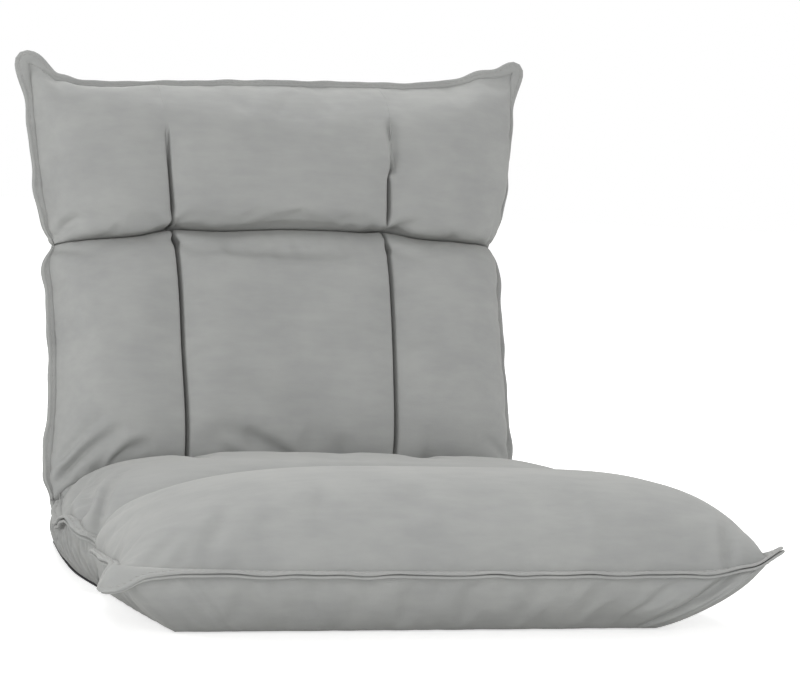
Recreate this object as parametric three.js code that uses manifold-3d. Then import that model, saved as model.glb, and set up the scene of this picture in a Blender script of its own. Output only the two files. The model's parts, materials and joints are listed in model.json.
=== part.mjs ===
// A legless folding floor chair: head, back, seat and leg sections in one row, each a steel frame
// in a foam slab under a padded cushion, joined by a pair of ratchet hinges at every fold.
// The sections are drawn unfolded along Y with the undersides at height zero, and the groups
// that hold them turn about the hinges to the sitting position.
import * as THREE from "three";
import { mergeVertices } from "three/addons/utils/BufferGeometryUtils.js";
import Module from "manifold-3d";

const wasm = await Module();
wasm.setup();

// Lengths are in millimetres and angles in degrees

// Sections, along the unfolded chair
const legLength = 250;
const seatLength = 285;
const backLength = 300;
const headLength = 193;

// Sitting position
const backLean = 18; // from upright
const headLean = 10; // from upright

// Clearances
const fitGap = 0.3; // between pieces that touch
const overrun = 40; // how far a cut runs past the solid
const weld = 0.001; // points closer than this are one

// Frame
const hingeHeight = 24; // hinge axes and tube centres above the underside
const tubeRadius = 9.5;
const tubeWall = 1.2;
const tubeSides = 12;
const boreSides = 8;
const tubeOffset = 200; // side tubes from the middle
const barRadius = 8;
const bendRadius = 55; // centre line of a bent frame's corners
const bendSteps = 5;
const seatBarInset = 84; // hinge axis to the nearest cross bar
const backBarInset = 88;
const looseBarInset = 62; // the same, on the leg and head frames
const bentFrameInset = 30; // panel edge to the centre line of a bent frame's far side

// Webbing
const strapThickness = 1.5;
const strapWidth = 34;
const strapOverlap = 5; // how far a strap reaches past a tube's centre line
const longStrapOffset = 75;
const crossStraps = 2;

// Ratchet hinges
const plateThickness = 2.5;
const cheekRadius = 20;
const cheekLength = 62;
const cheekHalfHeight = 8.5;
const cheekSteps = 14;
const rivetRadius = 4;
const rivetHeadRadius = 7.5;
const rivetHeadThickness = 2;
const rivetSides = 10;
const rivetHeadEdgeShare = 0.75;
const hubRadius = 8;
const armThickness = 6;
const armLength = 60;
const discRadius = 17;
const toothDepth = 2.4;
const toothPitch = 9;
const toothFaceShare = 0.2;
const toothMargin = 12; // teeth past the working stretch
const fixedTubeStart = 34; // hinge axis to the end of the tube between the cheeks
const movingTubeStart = 24; // hinge axis to the end of the tube on the arm
const pawlSetback = 27; // pawl pin from the hinge axis, along the tube
const pawlDrop = 4; // and below it
const pawlEyeRadius = 4.4;
const pawlPinRadius = 2.5;
const pawlNose = 168; // where the nose meets the toothed disc, from the arm's side
const pawlNoseSpan = 5;
const pawlClearance = 0.5;
const pawlSteps = 5;
const foldPastFlat = { back: 117, head: 48, leg: 40 }; // travel of each arm from the flat position

// Foam slab and panels
const panelThickness = 1.5;
const slabHalfWidth = 220;
const slabTop = 47.5;
const slabEdge = 12; // panel edge to slab, at a free end
const foldStripSteps = 8; // facets of the fabric round the underside of the back fold

// Cushion forms, with their sewn channels
const channelOffset = 128;
const drawInLength = 70; // sides drawn in where two sections meet
const edgePower = 5; // how square a cushion's cross section is
const flangeThickness = 3;
const flangeWidth = 14;
const flangePinch = 4; // flange width where two sections meet
const flangeFade = 60;
const earReach = 19;
const earLength = 46;
const channelReach = 13; // how fast a sewn channel opens out
const channelShares = [0, 0.45, 1.3, 3]; // columns beside a channel, in reaches
const middleShares = [0, 0.4]; // columns across the middle panel
const sideShares = [0.4, 0.68, 0.85, 0.95, 1]; // columns from the outer panel to the side seam
const rowShares = [0, 0.025, 0.08, 0.17, 0.29, 0.43, 0.57, 0.71, 0.83, 0.92, 0.975, 1];

const pads = {
  leg: {
    start: -seatLength - legLength,
    end: -seatLength,
    seamHeight: 62,
    crown: 138,
    halfWidth: 296,
    endHalfWidth: 262,
    panelHalfStart: 238,
    panelHalfEnd: 256,
    startRound: 115,
    startShare: 0,
    endRound: 95,
    endShare: 0.1,
    edgeSetback: 35,
    channelDepth: 0,
    channelFade: 0,
    freeStart: true,
    startAngle: 90,
    endAngle: 90,
  },
  seat: {
    start: -seatLength,
    end: 0,
    seamHeight: 62,
    crown: 117,
    startHalfWidth: 262,
    halfWidth: 276,
    endHalfWidth: 252,
    panelHalfStart: 256,
    panelHalfEnd: 246,
    startRound: 85,
    startShare: 0.14,
    endRound: 60,
    endShare: 0.88,
    edgeSetback: 0,
    channelDepth: 10,
    channelFade: 0,
    startAngle: 90,
    endAngle: (180 - (90 - backLean)) / 2,
  },
  back: {
    start: 0,
    end: backLength,
    seamHeight: 52,
    crown: 105,
    startHalfWidth: 246,
    halfWidth: 250,
    endHalfWidth: 244,
    panelHalfStart: 238,
    panelHalfEnd: 236,
    startRound: 60,
    startShare: 0.9,
    endRound: 50,
    endShare: 0.35,
    edgeSetback: 0,
    channelDepth: 40,
    channelFade: 0,
    startAngle: (180 - (90 - backLean)) / 2,
    endAngle: (180 - (backLean - headLean)) / 2,
  },
  head: {
    start: backLength,
    end: backLength + headLength,
    seamHeight: 52,
    crown: 102,
    startHalfWidth: 246,
    halfWidth: 264,
    panelHalfStart: 236,
    panelHalfEnd: 238,
    startRound: 55,
    startShare: 0.35,
    endRound: 90,
    endShare: 0,
    edgeSetback: 20,
    channelDepth: 34,
    channelFade: 0.7,
    freeEnd: true,
    startAngle: (180 - (backLean - headLean)) / 2,
    endAngle: 90,
  },
};

const finishes = {
  velour: { color: "#a3a29f", roughness: 0.95, metalness: 0 },
  foam: { color: "#e6dcc0", roughness: 1, metalness: 0 },
  feltBlack: { color: "#1b1b1c", roughness: 0.95, metalness: 0 },
  webbing: { color: "#2a2a2c", roughness: 0.9, metalness: 0 },
  paintedTube: { color: "#2f3133", roughness: 0.5, metalness: 0.7 },
  zincSteel: { color: "#a9abad", roughness: 0.4, metalness: 0.9 },
};

// Derived sizes
const radians = (degrees) => (degrees * Math.PI) / 180;
const slabBottom = panelThickness + fitGap;
const cheekInner = tubeRadius + fitGap; // inner face of a cheek, from the middle of its tube
const cheekOuter = cheekInner + plateThickness;
const rivetHeadInner = cheekOuter + fitGap;
const hingeHalfWidth = rivetHeadInner + rivetHeadThickness;
const rivetHole = (rivetRadius + fitGap) / Math.cos(Math.PI / rivetSides);
const pinHole = (pawlPinRadius + fitGap) / Math.cos(Math.PI / rivetSides);
const boreInscribed = (tubeRadius - tubeWall) * Math.cos(Math.PI / boreSides);
const tailHalfHeight = Math.sqrt((boreInscribed - fitGap) ** 2 - (armThickness / 2) ** 2);
const strapBottom = hingeHeight + tubeRadius + fitGap;
const maxHalfWidth = Math.max(...Object.values(pads).map((pad) => pad.halfWidth)) + overrun;
const maxHeight = Math.max(...Object.values(pads).map((pad) => pad.crown)) + overrun;

// Basic shapes

const alongX = new THREE.Matrix4().makeBasis(
  new THREE.Vector3(0, 1, 0),
  new THREE.Vector3(0, 0, 1),
  new THREE.Vector3(1, 0, 0),
);

// Points as vectors, in counterclockwise order
function outlineOf(points) {
  const vectors = points.map(([a, b]) => new THREE.Vector2(a, b));
  return THREE.ShapeUtils.isClockWise(vectors) ? vectors.reverse() : vectors;
}

// A shape of [x, y] points swept straight from one height to another
function prismUp(points, low, high) {
  const shape = new THREE.Shape(outlineOf(points));
  const geometry = new THREE.ExtrudeGeometry(shape, { depth: high - low, bevelEnabled: false });
  return geometry.translate(0, 0, low);
}

// A shape of [y, z] points, with holes, swept straight across the chair
function prismAcross(points, from, to, holes = []) {
  const shape = new THREE.Shape(outlineOf(points));
  for (const hole of holes) shape.holes.push(new THREE.Path(outlineOf(hole)));
  const geometry = new THREE.ExtrudeGeometry(shape, { depth: to - from, bevelEnabled: false });
  return geometry.applyMatrix4(alongX).translate(from, 0, 0);
}

function block([x0, x1], [y0, y1], [z0, z1]) {
  const geometry = new THREE.BoxGeometry(x1 - x0, y1 - y0, z1 - z0);
  return geometry.translate((x0 + x1) / 2, (y0 + y1) / 2, (z0 + z1) / 2);
}

// Points of an arc about a centre, both ends included
function arc([u, v], radius, from, to, steps) {
  return Array.from({ length: steps + 1 }, (_, i) => {
    const angle = radians(from + ((to - from) * i) / steps);
    return [u + radius * Math.cos(angle), v + radius * Math.sin(angle)];
  });
}

const ring = (centre, radius, sides) => arc(centre, radius, 0, 360, sides).slice(0, sides);

// A closed mesh as a solid that can be joined and cut
function solidOf(geometry) {
  const bare = geometry.index ? geometry.toNonIndexed() : geometry.clone();
  bare.deleteAttribute("normal");
  bare.deleteAttribute("uv");
  const merged = mergeVertices(bare, weld);
  const mesh = new wasm.Mesh({
    numProp: 3,
    vertProperties: merged.attributes.position.array,
    triVerts: new Uint32Array(merged.index.array),
  });
  return new wasm.Manifold(mesh);
}

function geometryOf(solid) {
  const mesh = solid.getMesh();
  const geometry = new THREE.BufferGeometry();
  geometry.setAttribute("position", new THREE.BufferAttribute(mesh.vertProperties, 3));
  geometry.setIndex(new THREE.BufferAttribute(mesh.triVerts, 1));
  return geometry;
}

const cut = (solid, geometries) => geometries.reduce((rest, g) => rest.subtract(solidOf(g)), solid);
const join = (solid, geometries) => geometries.reduce((whole, g) => whole.add(solidOf(g)), solid);

function addPiece(group, name, shape, finish) {
  const geometry = shape.isBufferGeometry ? shape : geometryOf(shape);
  const mesh = new THREE.Mesh(geometry, new THREE.MeshStandardMaterial(finishes[finish]));
  mesh.name = name;
  group.add(mesh);
}

// Frame tubes

// A line through given points, one step of the sweep to each stretch
class Route extends THREE.Curve {
  constructor(points) {
    super();
    this.points = points.map((p) => new THREE.Vector3(...p));
  }
  getPoint(share) {
    const place = share * (this.points.length - 1);
    const i = Math.min(Math.floor(place), this.points.length - 2);
    return this.points[i].clone().lerp(this.points[i + 1], place - i);
  }
  getPointAt(share) {
    return this.getPoint(share);
  }
  getTangentAt(share) {
    const i = Math.round(share * (this.points.length - 1));
    const before = this.points[Math.max(i - 1, 0)];
    const after = this.points[Math.min(i + 1, this.points.length - 1)];
    return after.clone().sub(before).normalize();
  }
}

function tube(points, radius) {
  const section = new THREE.Shape(outlineOf(ring([0, 0], radius, tubeSides)));
  section.holes.push(new THREE.Path(outlineOf(ring([0, 0], radius - tubeWall, boreSides))));
  return new THREE.ExtrudeGeometry(section, { steps: points.length - 1, extrudePath: new Route(points) });
}

const straightTube = (x, y0, y1) => tube([[x, y0, hingeHeight], [x, y1, hingeHeight]], tubeRadius);

// The span of a cross bar between the side tubes
const barReach = tubeOffset - tubeRadius - fitGap;
const crossBar = (y) => tube([[-barReach, y, hingeHeight], [barReach, y, hingeHeight]], barRadius);

// A bent frame's centre line: up one side from its tube's end, across, and back down the other
function bentLine(yOpen, yFar) {
  const away = Math.sign(yFar - yOpen);
  const corner = [-tubeOffset + bendRadius, yFar - away * bendRadius];
  const bend = arc(corner, bendRadius, 180, 180 - away * 90, bendSteps);
  const half = [[-tubeOffset, yOpen], ...bend];
  const mirrored = half.map(([x, y]) => [-x, y]).reverse();
  return [...half, ...mirrored].map(([x, y]) => [x, y, hingeHeight]);
}

// Grooves in the foam, open downwards: each clears its tube by the fit gap

const grooveHeights = (radius) => [slabBottom - overrun, hingeHeight + radius + fitGap];
const sideGroove = (x, pad) => {
  const reach = tubeRadius + fitGap;
  return block([x - reach, x + reach], [pad.start - overrun, pad.end + overrun], grooveHeights(tubeRadius));
};
const barGroove = (y) => {
  const reach = barRadius + fitGap;
  return block([-tubeOffset, tubeOffset], [y - reach, y + reach], grooveHeights(barRadius));
};

// The same for a bent frame: its outline seen from above, offset to both sides
function bentGroove(yOpen, yFar) {
  const away = Math.sign(yFar - yOpen);
  const reach = (tubeRadius + fitGap) / Math.cos(Math.PI / (4 * bendSteps));
  const edge = (radius, offset) => {
    const corner = [-tubeOffset + bendRadius, yFar - away * bendRadius];
    const bend = arc(corner, radius, 180, 180 - away * 90, bendSteps);
    const half = [[-tubeOffset - offset, yOpen], ...bend];
    return [...half, ...half.map(([x, y]) => [-x, y]).reverse()];
  };
  const outer = edge(bendRadius + reach, reach);
  const inner = edge(bendRadius - reach, -reach);
  return prismUp([...outer, ...inner.reverse()], ...grooveHeights(tubeRadius));
}

// Webbing: cross straps lie on the side tubes, long straps join them into one piece

function strapBlocks(y0, y1, gap) {
  const heights = [strapBottom - gap, strapBottom + strapThickness + gap];
  const half = strapWidth / 2 + gap;
  const reach = tubeOffset + strapOverlap + gap;
  const cross = Array.from({ length: crossStraps }, (_, i) => {
    const y = y0 + strapWidth / 2 + ((y1 - y0 - strapWidth) * i) / (crossStraps - 1);
    return block([-reach, reach], [y - half, y + half], heights);
  });
  const long = [-longStrapOffset, longStrapOffset].map((x) =>
    block([x - half, x + half], [y0 - gap, y1 + gap], heights),
  );
  return [...cross, ...long];
}

function webbing(y0, y1) {
  const [first, ...rest] = strapBlocks(y0, y1, 0);
  return join(solidOf(first), rest);
}

// Ratchet hinges. Their outlines are in [along the arm, height above the axis], with the arm flat.

// Places such an outline at a hinge whose arm points along +Y or -Y
const placed = (points, hingeY, way) => points.map(([u, v]) => [hingeY + way * u, hingeHeight + v]);

function cheek(x, outward, hingeY, way) {
  const shoulder = (Math.asin(cheekHalfHeight / cheekRadius) * 180) / Math.PI;
  const outline = [
    [-cheekLength, -cheekHalfHeight],
    ...arc([0, 0], cheekRadius, shoulder - 180, 180 - shoulder, cheekSteps),
    [-cheekLength, cheekHalfHeight],
  ];
  const holes = [
    ring([0, 0], rivetHole, rivetSides),
    ring([-pawlSetback, -pawlDrop], pinHole, rivetSides),
  ].map((hole) => placed(hole, hingeY, way));
  const inner = x + outward * cheekInner;
  const outer = x + outward * cheekOuter;
  const [from, to] = [Math.min(inner, outer), Math.max(inner, outer)];
  return prismAcross(placed(outline, hingeY, way), from, to, holes);
}

function toothedArm(x, hingeY, way, travel) {
  const firstTooth = 180 - travel - toothMargin;
  const teeth = Math.ceil((travel + 2 * toothMargin) / toothPitch);
  const lastTooth = firstTooth + teeth * toothPitch;
  const root = discRadius - toothDepth;
  const outline = [[armLength, -tailHalfHeight], [armLength, tailHalfHeight]];
  const tailAngle = (Math.asin(tailHalfHeight / discRadius) * 180) / Math.PI;
  const plainSteps = Math.ceil((firstTooth - tailAngle) / toothPitch / 2);
  outline.push(...arc([0, 0], discRadius, tailAngle, firstTooth, plainSteps));
  for (let i = 0; i < teeth; i += 1) {
    const angle = firstTooth + i * toothPitch;
    outline.push(...arc([0, 0], root, angle + toothPitch * toothFaceShare, angle, 1).slice(0, 1));
    outline.push(...arc([0, 0], discRadius, angle + toothPitch, angle, 1).slice(0, 1));
  }
  const plainBack = 360 - tailAngle - lastTooth;
  const backSteps = Math.ceil(plainBack / toothPitch / 2);
  outline.push(...arc([0, 0], discRadius, lastTooth, lastTooth + plainBack, backSteps).slice(1));
  const plate = prismAcross(placed(outline, hingeY, way), x - armThickness / 2, x + armThickness / 2);
  const hubHalf = cheekInner - fitGap;
  const hub = prismAcross(placed(ring([0, 0], hubRadius, tubeSides), hingeY, way), x - hubHalf, x + hubHalf);
  const bore = ring([0, 0], rivetHole, rivetSides);
  const drill = prismAcross(placed(bore, hingeY, way), x - hubHalf - overrun, x + hubHalf + overrun);
  return cut(join(solidOf(plate), [hub]), [drill]);
}

function pawl(x, hingeY, way) {
  const eye = [-pawlSetback, -pawlDrop];
  const noseRadius = discRadius + pawlClearance;
  const nose = arc([0, 0], noseRadius, pawlNose - pawlNoseSpan, pawlNose + pawlNoseSpan, 1);
  const lean = (Math.atan2(nose[0][1] - eye[1], nose[0][0] - eye[0]) * 180) / Math.PI;
  const outline = [...arc(eye, pawlEyeRadius, lean + 90, lean + 270, pawlSteps), ...nose.reverse()];
  const half = armThickness / 2;
  const body = prismAcross(placed(outline, hingeY, way), x - half, x + half);
  const pin = placed(ring(eye, pawlPinRadius, rivetSides), hingeY, way);
  return join(solidOf(body), [prismAcross(pin, x - cheekOuter, x + cheekOuter)]);
}

function rivet(x, hingeY) {
  const domed = rivetHeadRadius * rivetHeadEdgeShare;
  const half = [
    [0, hingeHalfWidth],
    [domed, hingeHalfWidth],
    [rivetHeadRadius, rivetHeadInner + rivetHeadThickness / 2],
    [rivetHeadRadius, rivetHeadInner],
    [rivetRadius, rivetHeadInner],
  ];
  const profile = [...half.map(([r, w]) => [r, -w]), ...half.reverse()];
  const points = profile.map(([r, w]) => new THREE.Vector2(r, w));
  const lathe = new THREE.LatheGeometry(points, rivetSides);
  return lathe.rotateZ(-Math.PI / 2).translate(x, hingeY, hingeHeight);
}

const sides = { left: -1, right: 1 };

// One hinge pair: cheeks, pawl and rivet stay with one section, and the arm turns with the next
function addHinges(name, fixed, moving, hingeY, way) {
  for (const [side, sign] of Object.entries(sides)) {
    const x = sign * tubeOffset;
    const label = `${name}_hinge_${side}`;
    addPiece(fixed, `${label}_outer_cheek`, cheek(x, sign, hingeY, way), "zincSteel");
    addPiece(fixed, `${label}_inner_cheek`, cheek(x, -sign, hingeY, way), "zincSteel");
    addPiece(fixed, `${label}_pawl`, pawl(x, hingeY, way), "zincSteel");
    addPiece(fixed, `${label}_rivet`, rivet(x, hingeY), "zincSteel");
    addPiece(moving, `${label}_toothed_arm`, toothedArm(x, hingeY, way, foldPastFlat[name]), "zincSteel");
  }
}

// Room in the foam for a hinge: the cheeks' length on the fixed side, their round end on the other
function hingePockets(hingeY, way, isFixedSide) {
  const half = hingeHalfWidth + fitGap;
  const reach = isFixedSide ? -way * (cheekLength + fitGap) : way * (cheekRadius + fitGap);
  const [y0, y1] = [hingeY - Math.sign(reach) * overrun, hingeY + reach].sort((a, b) => a - b);
  const heights = [slabBottom - overrun, hingeHeight + cheekRadius + fitGap];
  return [-tubeOffset, tubeOffset].map((x) => block([x - half, x + half], [y0, y1], heights));
}

// Cushions

// A quarter ellipse that rises from a share to one over a given length
function roundUp(distance, length, share) {
  const rest = 1 - Math.min(Math.max(distance / length, 0), 1);
  return share + (1 - share) * Math.sqrt(1 - rest * rest);
}

// Half the width of a cushion at its side seam, drawn in at the folds
function halfWidthAt(pad, y) {
  const fromStart = pad.freeStart ? drawInLength : y - pad.start;
  const fromEnd = pad.freeEnd ? drawInLength : pad.end - y;
  const drawnIn = fromStart < fromEnd ? pad.startHalfWidth : pad.endHalfWidth;
  if (Math.min(fromStart, fromEnd) >= drawInLength) return pad.halfWidth;
  return drawnIn + (pad.halfWidth - drawnIn) * roundUp(Math.min(fromStart, fromEnd), drawInLength, 0);
}

// Height of a cushion's top: seam height, plus the crown, less the sewn channels.
// A pleat fades out as it goes from the start towards the share channelFade.
function topHeight(pad, x, y) {
  const along =
    roundUp(y - pad.start, pad.startRound, pad.startShare) * roundUp(pad.end - y, pad.endRound, pad.endShare);
  const across = Math.sqrt(1 - Math.min(Math.abs(x) / halfWidthAt(pad, y), 1) ** edgePower);
  const share = (y - pad.start) / (pad.end - pad.start);
  const strength = pad.channelFade ? Math.max(1 - share / pad.channelFade, 0) : 1;
  const dip = pad.channelDepth * strength * Math.exp(-Math.abs(Math.abs(x) - channelOffset) / channelReach);
  const rise = (pad.crown - pad.seamHeight) * along * across;
  return pad.seamHeight + Math.max(rise - dip * along * across, 0);
}

// Columns across a cushion: fixed about the channels, spread from there to the side seam
function columnsAt(pad, y) {
  const near = channelShares.flatMap((share) => (share ? [-share, share] : [0]));
  const inner = [
    ...middleShares.map((share) => share * channelOffset),
    ...near.map((share) => channelOffset + share * channelReach),
  ].sort((a, b) => a - b);
  const last = inner[inner.length - 1];
  const side = sideShares.map((share) => last + (halfWidthAt(pad, y) - last) * share);
  const half = [...inner, ...side];
  return [...half.slice(1).map((x) => -x).reverse(), ...half];
}

const rowsOf = (pad) => rowShares.map((share) => pad.start + (pad.end - pad.start) * share);

// The underside's edge, as [x, y], below the cushion's point at a column share and a row
function panelPoint(pad, across, y) {
  const share = (y - pad.start) / (pad.end - pad.start);
  const half = pad.panelHalfStart + (pad.panelHalfEnd - pad.panelHalfStart) * share;
  const low = pad.start + (pad.freeStart ? pad.edgeSetback : 0);
  const high = pad.end - (pad.freeEnd ? pad.edgeSetback : 0);
  return [across * half, low + (high - low) * share];
}

// A cushion's outer form: a crowned top, a seam round it, and sides that slope to the underside
function cushionForm(pad) {
  const rows = rowsOf(pad);
  const columns = rows.map((y) => columnsAt(pad, y));
  const across = columns[0].length;
  const points = [];
  rows.forEach((y, j) => columns[j].forEach((x) => points.push([x, y, topHeight(pad, x, y)])));
  const faces = [];
  const quad = (a, b, c, d) => faces.push([a, b, c], [a, c, d]);
  for (let j = 0; j < rows.length - 1; j += 1) {
    for (let i = 0; i < across - 1; i += 1) {
      const a = j * across + i;
      quad(a, a + 1, a + across + 1, a + across);
    }
  }
  const last = rows.length - 1;
  const edge = [
    ...Array.from({ length: across - 1 }, (_, i) => i),
    ...Array.from({ length: last }, (_, j) => j * across + across - 1),
    ...Array.from({ length: across - 1 }, (_, i) => last * across + across - 1 - i),
    ...Array.from({ length: last }, (_, j) => (last - j) * across),
  ];
  const firstLow = points.length;
  for (const i of edge) {
    const [x, y] = points[i];
    points.push([...panelPoint(pad, x / halfWidthAt(pad, y), y), slabBottom]);
  }
  edge.forEach((top, i) => {
    const next = (i + 1) % edge.length;
    quad(top, firstLow + i, firstLow + next, edge[next]);
  });
  const outline = points.slice(firstLow).map(([x, y]) => new THREE.Vector2(x, y));
  for (const [a, b, c] of THREE.ShapeUtils.triangulateShape(outline, [])) {
    faces.push([firstLow + c, firstLow + b, firstLow + a]);
  }
  const geometry = new THREE.BufferGeometry();
  geometry.setAttribute("position", new THREE.Float32BufferAttribute(points.flat(), 3));
  geometry.setIndex(faces.flat());
  return geometry;
}

// The sewn flange that stands out all round the seam, with an ear at each free corner
function flange(pad) {
  const side = rowsOf(pad).map((y) => {
    const fromStart = pad.freeStart ? flangeFade : y - pad.start;
    const fromEnd = pad.freeEnd ? flangeFade : pad.end - y;
    const open = roundUp(Math.min(fromStart, fromEnd), flangeFade, 0);
    return [halfWidthAt(pad, y) + flangePinch + (flangeWidth - flangePinch) * open, y];
  });
  const ear = (y, away) => [
    [pad.halfWidth + flangeWidth, y - away * earLength],
    [pad.halfWidth + earReach, y + away * earReach],
    [pad.halfWidth - earLength, y + away * flangeWidth],
  ];
  const body = side.filter(([, y]) => y > pad.start + earLength || !pad.freeStart);
  const right = body.filter(([, y]) => y < pad.end - earLength || !pad.freeEnd);
  if (pad.freeStart) right.unshift(...ear(pad.start, -1).reverse());
  if (pad.freeEnd) right.push(...ear(pad.end, 1));
  const left = right.map(([x, y]) => [-x, y]).reverse();
  const middle = pad.seamHeight;
  return prismUp([...right, ...left], middle - flangeThickness / 2, middle + flangeThickness / 2);
}

// What lies past a fold: straight up to the hinge axis, then leaning back at the mitre's angle
function pastFold(foldY, way, angle) {
  const edge = foldY - way * fitGap;
  const far = foldY + way * (overrun + maxHeight);
  const lean = (maxHeight - hingeHeight) / Math.tan(radians(angle));
  const outline = [
    [far, -overrun],
    [edge, -overrun],
    [edge, hingeHeight],
    [edge - way * lean, maxHeight],
    [far, maxHeight],
  ];
  return prismAcross(outline, -maxHalfWidth, maxHalfWidth);
}

const foldCuts = (pad) => [
  ...(pad.freeStart ? [] : [pastFold(pad.start, -1, pad.startAngle)]),
  ...(pad.freeEnd ? [] : [pastFold(pad.end, 1, pad.endAngle)]),
];

// The foam slab's plan, grown by a gap at the sides and the free end, and run past each fold
function slabSpan(pad, gap) {
  const inset = pad.edgeSetback + slabEdge - gap;
  const start = pad.freeStart ? pad.start + inset : pad.start - overrun;
  const end = pad.freeEnd ? pad.end - inset : pad.end + overrun;
  return [start, end];
}

function cushion(pad) {
  const whole = join(solidOf(cushionForm(pad)), [flange(pad)]);
  const half = slabHalfWidth + fitGap;
  const core = block([-half, half], slabSpan(pad, fitGap), [slabBottom - overrun, slabTop + fitGap]);
  return cut(whole, [...foldCuts(pad), core]);
}

function foamSlab(pad, hollows) {
  const slab = block([-slabHalfWidth, slabHalfWidth], slabSpan(pad, 0), [slabBottom, slabTop]);
  return cut(solidOf(slab), [...foldCuts(pad), ...hollows]);
}

function underPanel(pad) {
  const start = pad.start + (pad.freeStart ? 0 : fitGap);
  const end = pad.end - (pad.freeEnd ? 0 : fitGap);
  const corners = [[1, start], [1, end], [-1, end], [-1, start]];
  return prismUp(corners.map(([across, y]) => panelPoint(pad, across, y)), 0, panelThickness);
}

// The fabric that closes the underside of the back fold: an arc about the hinge axis, from the
// seat's panel to the back's
function foldStrip(halfWidth, turn) {
  const gapAngle = (fitGap / (hingeHeight - panelThickness)) * (180 / Math.PI);
  const [from, to] = [-90 + gapAngle, -90 + turn - gapAngle];
  const outer = arc([0, hingeHeight], hingeHeight, from, to, foldStripSteps);
  const inner = arc([0, hingeHeight], hingeHeight - panelThickness, from, to, foldStripSteps);
  return prismAcross([...outer, ...inner.reverse()], -halfWidth, halfWidth);
}

// Assembly

// A section that turns about a fold; what it holds is still drawn unfolded
function hingedSection(parent, foldY, angle) {
  const pivot = new THREE.Group();
  pivot.position.set(0, foldY, hingeHeight);
  pivot.rotation.x = radians(angle);
  const section = new THREE.Group();
  section.position.set(0, -foldY, -hingeHeight);
  pivot.add(section);
  parent.add(pivot);
  return section;
}

const chair = new THREE.Group();
const seat = new THREE.Group();
chair.add(seat);
const leg = hingedSection(seat, pads.leg.end, 0);
const back = hingedSection(seat, pads.seat.end, 90 - backLean);
const head = hingedSection(back, pads.back.end, backLean - headLean);

// A section with a pair of side tubes and two cross bars, fixed between two folds
function addLadderSection(name, group, pad, startTube, barNames, barInset, pockets) {
  const y0 = pad.start + startTube;
  const y1 = pad.end - fixedTubeStart;
  const bars = [pad.start + barInset, pad.end - barInset];
  for (const [side, sign] of Object.entries(sides)) {
    addPiece(group, `${name}_${side}_tube`, straightTube(sign * tubeOffset, y0, y1), "paintedTube");
  }
  bars.forEach((y, i) => addPiece(group, `${name}_${barNames[i]}`, crossBar(y), "paintedTube"));
  const [low, high] = [bars[0] - barRadius, bars[1] + barRadius];
  addPiece(group, `${name}_webbing`, webbing(low, high), "webbing");
  const hollows = [
    ...Object.values(sides).map((sign) => sideGroove(sign * tubeOffset, pad)),
    ...bars.map(barGroove),
    ...strapBlocks(low, high, fitGap),
    ...pockets,
  ];
  addPiece(group, `${name}_foam`, foamSlab(pad, hollows), "foam");
}

// A section with one bent tube and a cross bar, hinged at one end only
function addBentSection(name, group, pad, foldY, way, pockets) {
  const panelEdge = way > 0 ? pad.end - pad.edgeSetback : pad.start + pad.edgeSetback;
  const open = foldY + way * movingTubeStart;
  const far = panelEdge - way * bentFrameInset;
  const barY = foldY + way * looseBarInset;
  addPiece(group, `${name}_frame`, tube(bentLine(open, far), tubeRadius), "paintedTube");
  addPiece(group, `${name}_bar`, crossBar(barY), "paintedTube");
  const [low, high] = [barY - way * barRadius, far].sort((a, b) => a - b);
  addPiece(group, `${name}_webbing`, webbing(low, high), "webbing");
  const hollows = [
    bentGroove(foldY - way * overrun, far),
    barGroove(barY),
    ...strapBlocks(low, high, fitGap),
    ...pockets,
  ];
  addPiece(group, `${name}_foam`, foamSlab(pad, hollows), "foam");
}

addLadderSection("seat", seat, pads.seat, fixedTubeStart, ["front_bar", "rear_bar"], seatBarInset, [
  ...hingePockets(pads.seat.start, -1, true),
  ...hingePockets(pads.seat.end, 1, true),
]);
addLadderSection("back", back, pads.back, movingTubeStart, ["lower_bar", "upper_bar"], backBarInset, [
  ...hingePockets(pads.back.start, 1, false),
  ...hingePockets(pads.back.end, 1, true),
]);
addBentSection("leg", leg, pads.leg, pads.leg.end, -1, hingePockets(pads.leg.end, -1, false));
addBentSection("head", head, pads.head, pads.head.start, 1, hingePockets(pads.head.start, 1, false));

addHinges("back", seat, back, pads.seat.end, 1);
addHinges("leg", seat, leg, pads.seat.start, -1);
addHinges("head", back, head, pads.back.end, 1);

const sections = { leg, seat, back, head };
for (const [name, group] of Object.entries(sections)) {
  const panel = name === "leg" || name === "seat" ? "base_panel" : "rear_panel";
  addPiece(group, `${name}_cushion`, cushion(pads[name]), "velour");
  addPiece(group, `${name}_${panel}`, underPanel(pads[name]), "feltBlack");
}

addPiece(seat, "back_fold_strip", foldStrip(pads.back.panelHalfStart, 90 - backLean), "feltBlack");

// The origin is under the middle of the chair, on the floor
chair.updateMatrixWorld(true);
const extent = new THREE.Box3().setFromObject(chair, true);
chair.position.set(0, -(extent.min.y + extent.max.y) / 2, -extent.min.z);

export default chair;
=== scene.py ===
# Folding floor chair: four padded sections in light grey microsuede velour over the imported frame.
# Sizes in the dictionaries are millimetres on the unfolded chair: x across, y along it from the
# back hinge, z up from the underside. Each section is then turned to the sitting position.
import json
import math

import bpy
import numpy as np
from mathutils import Matrix


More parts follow.
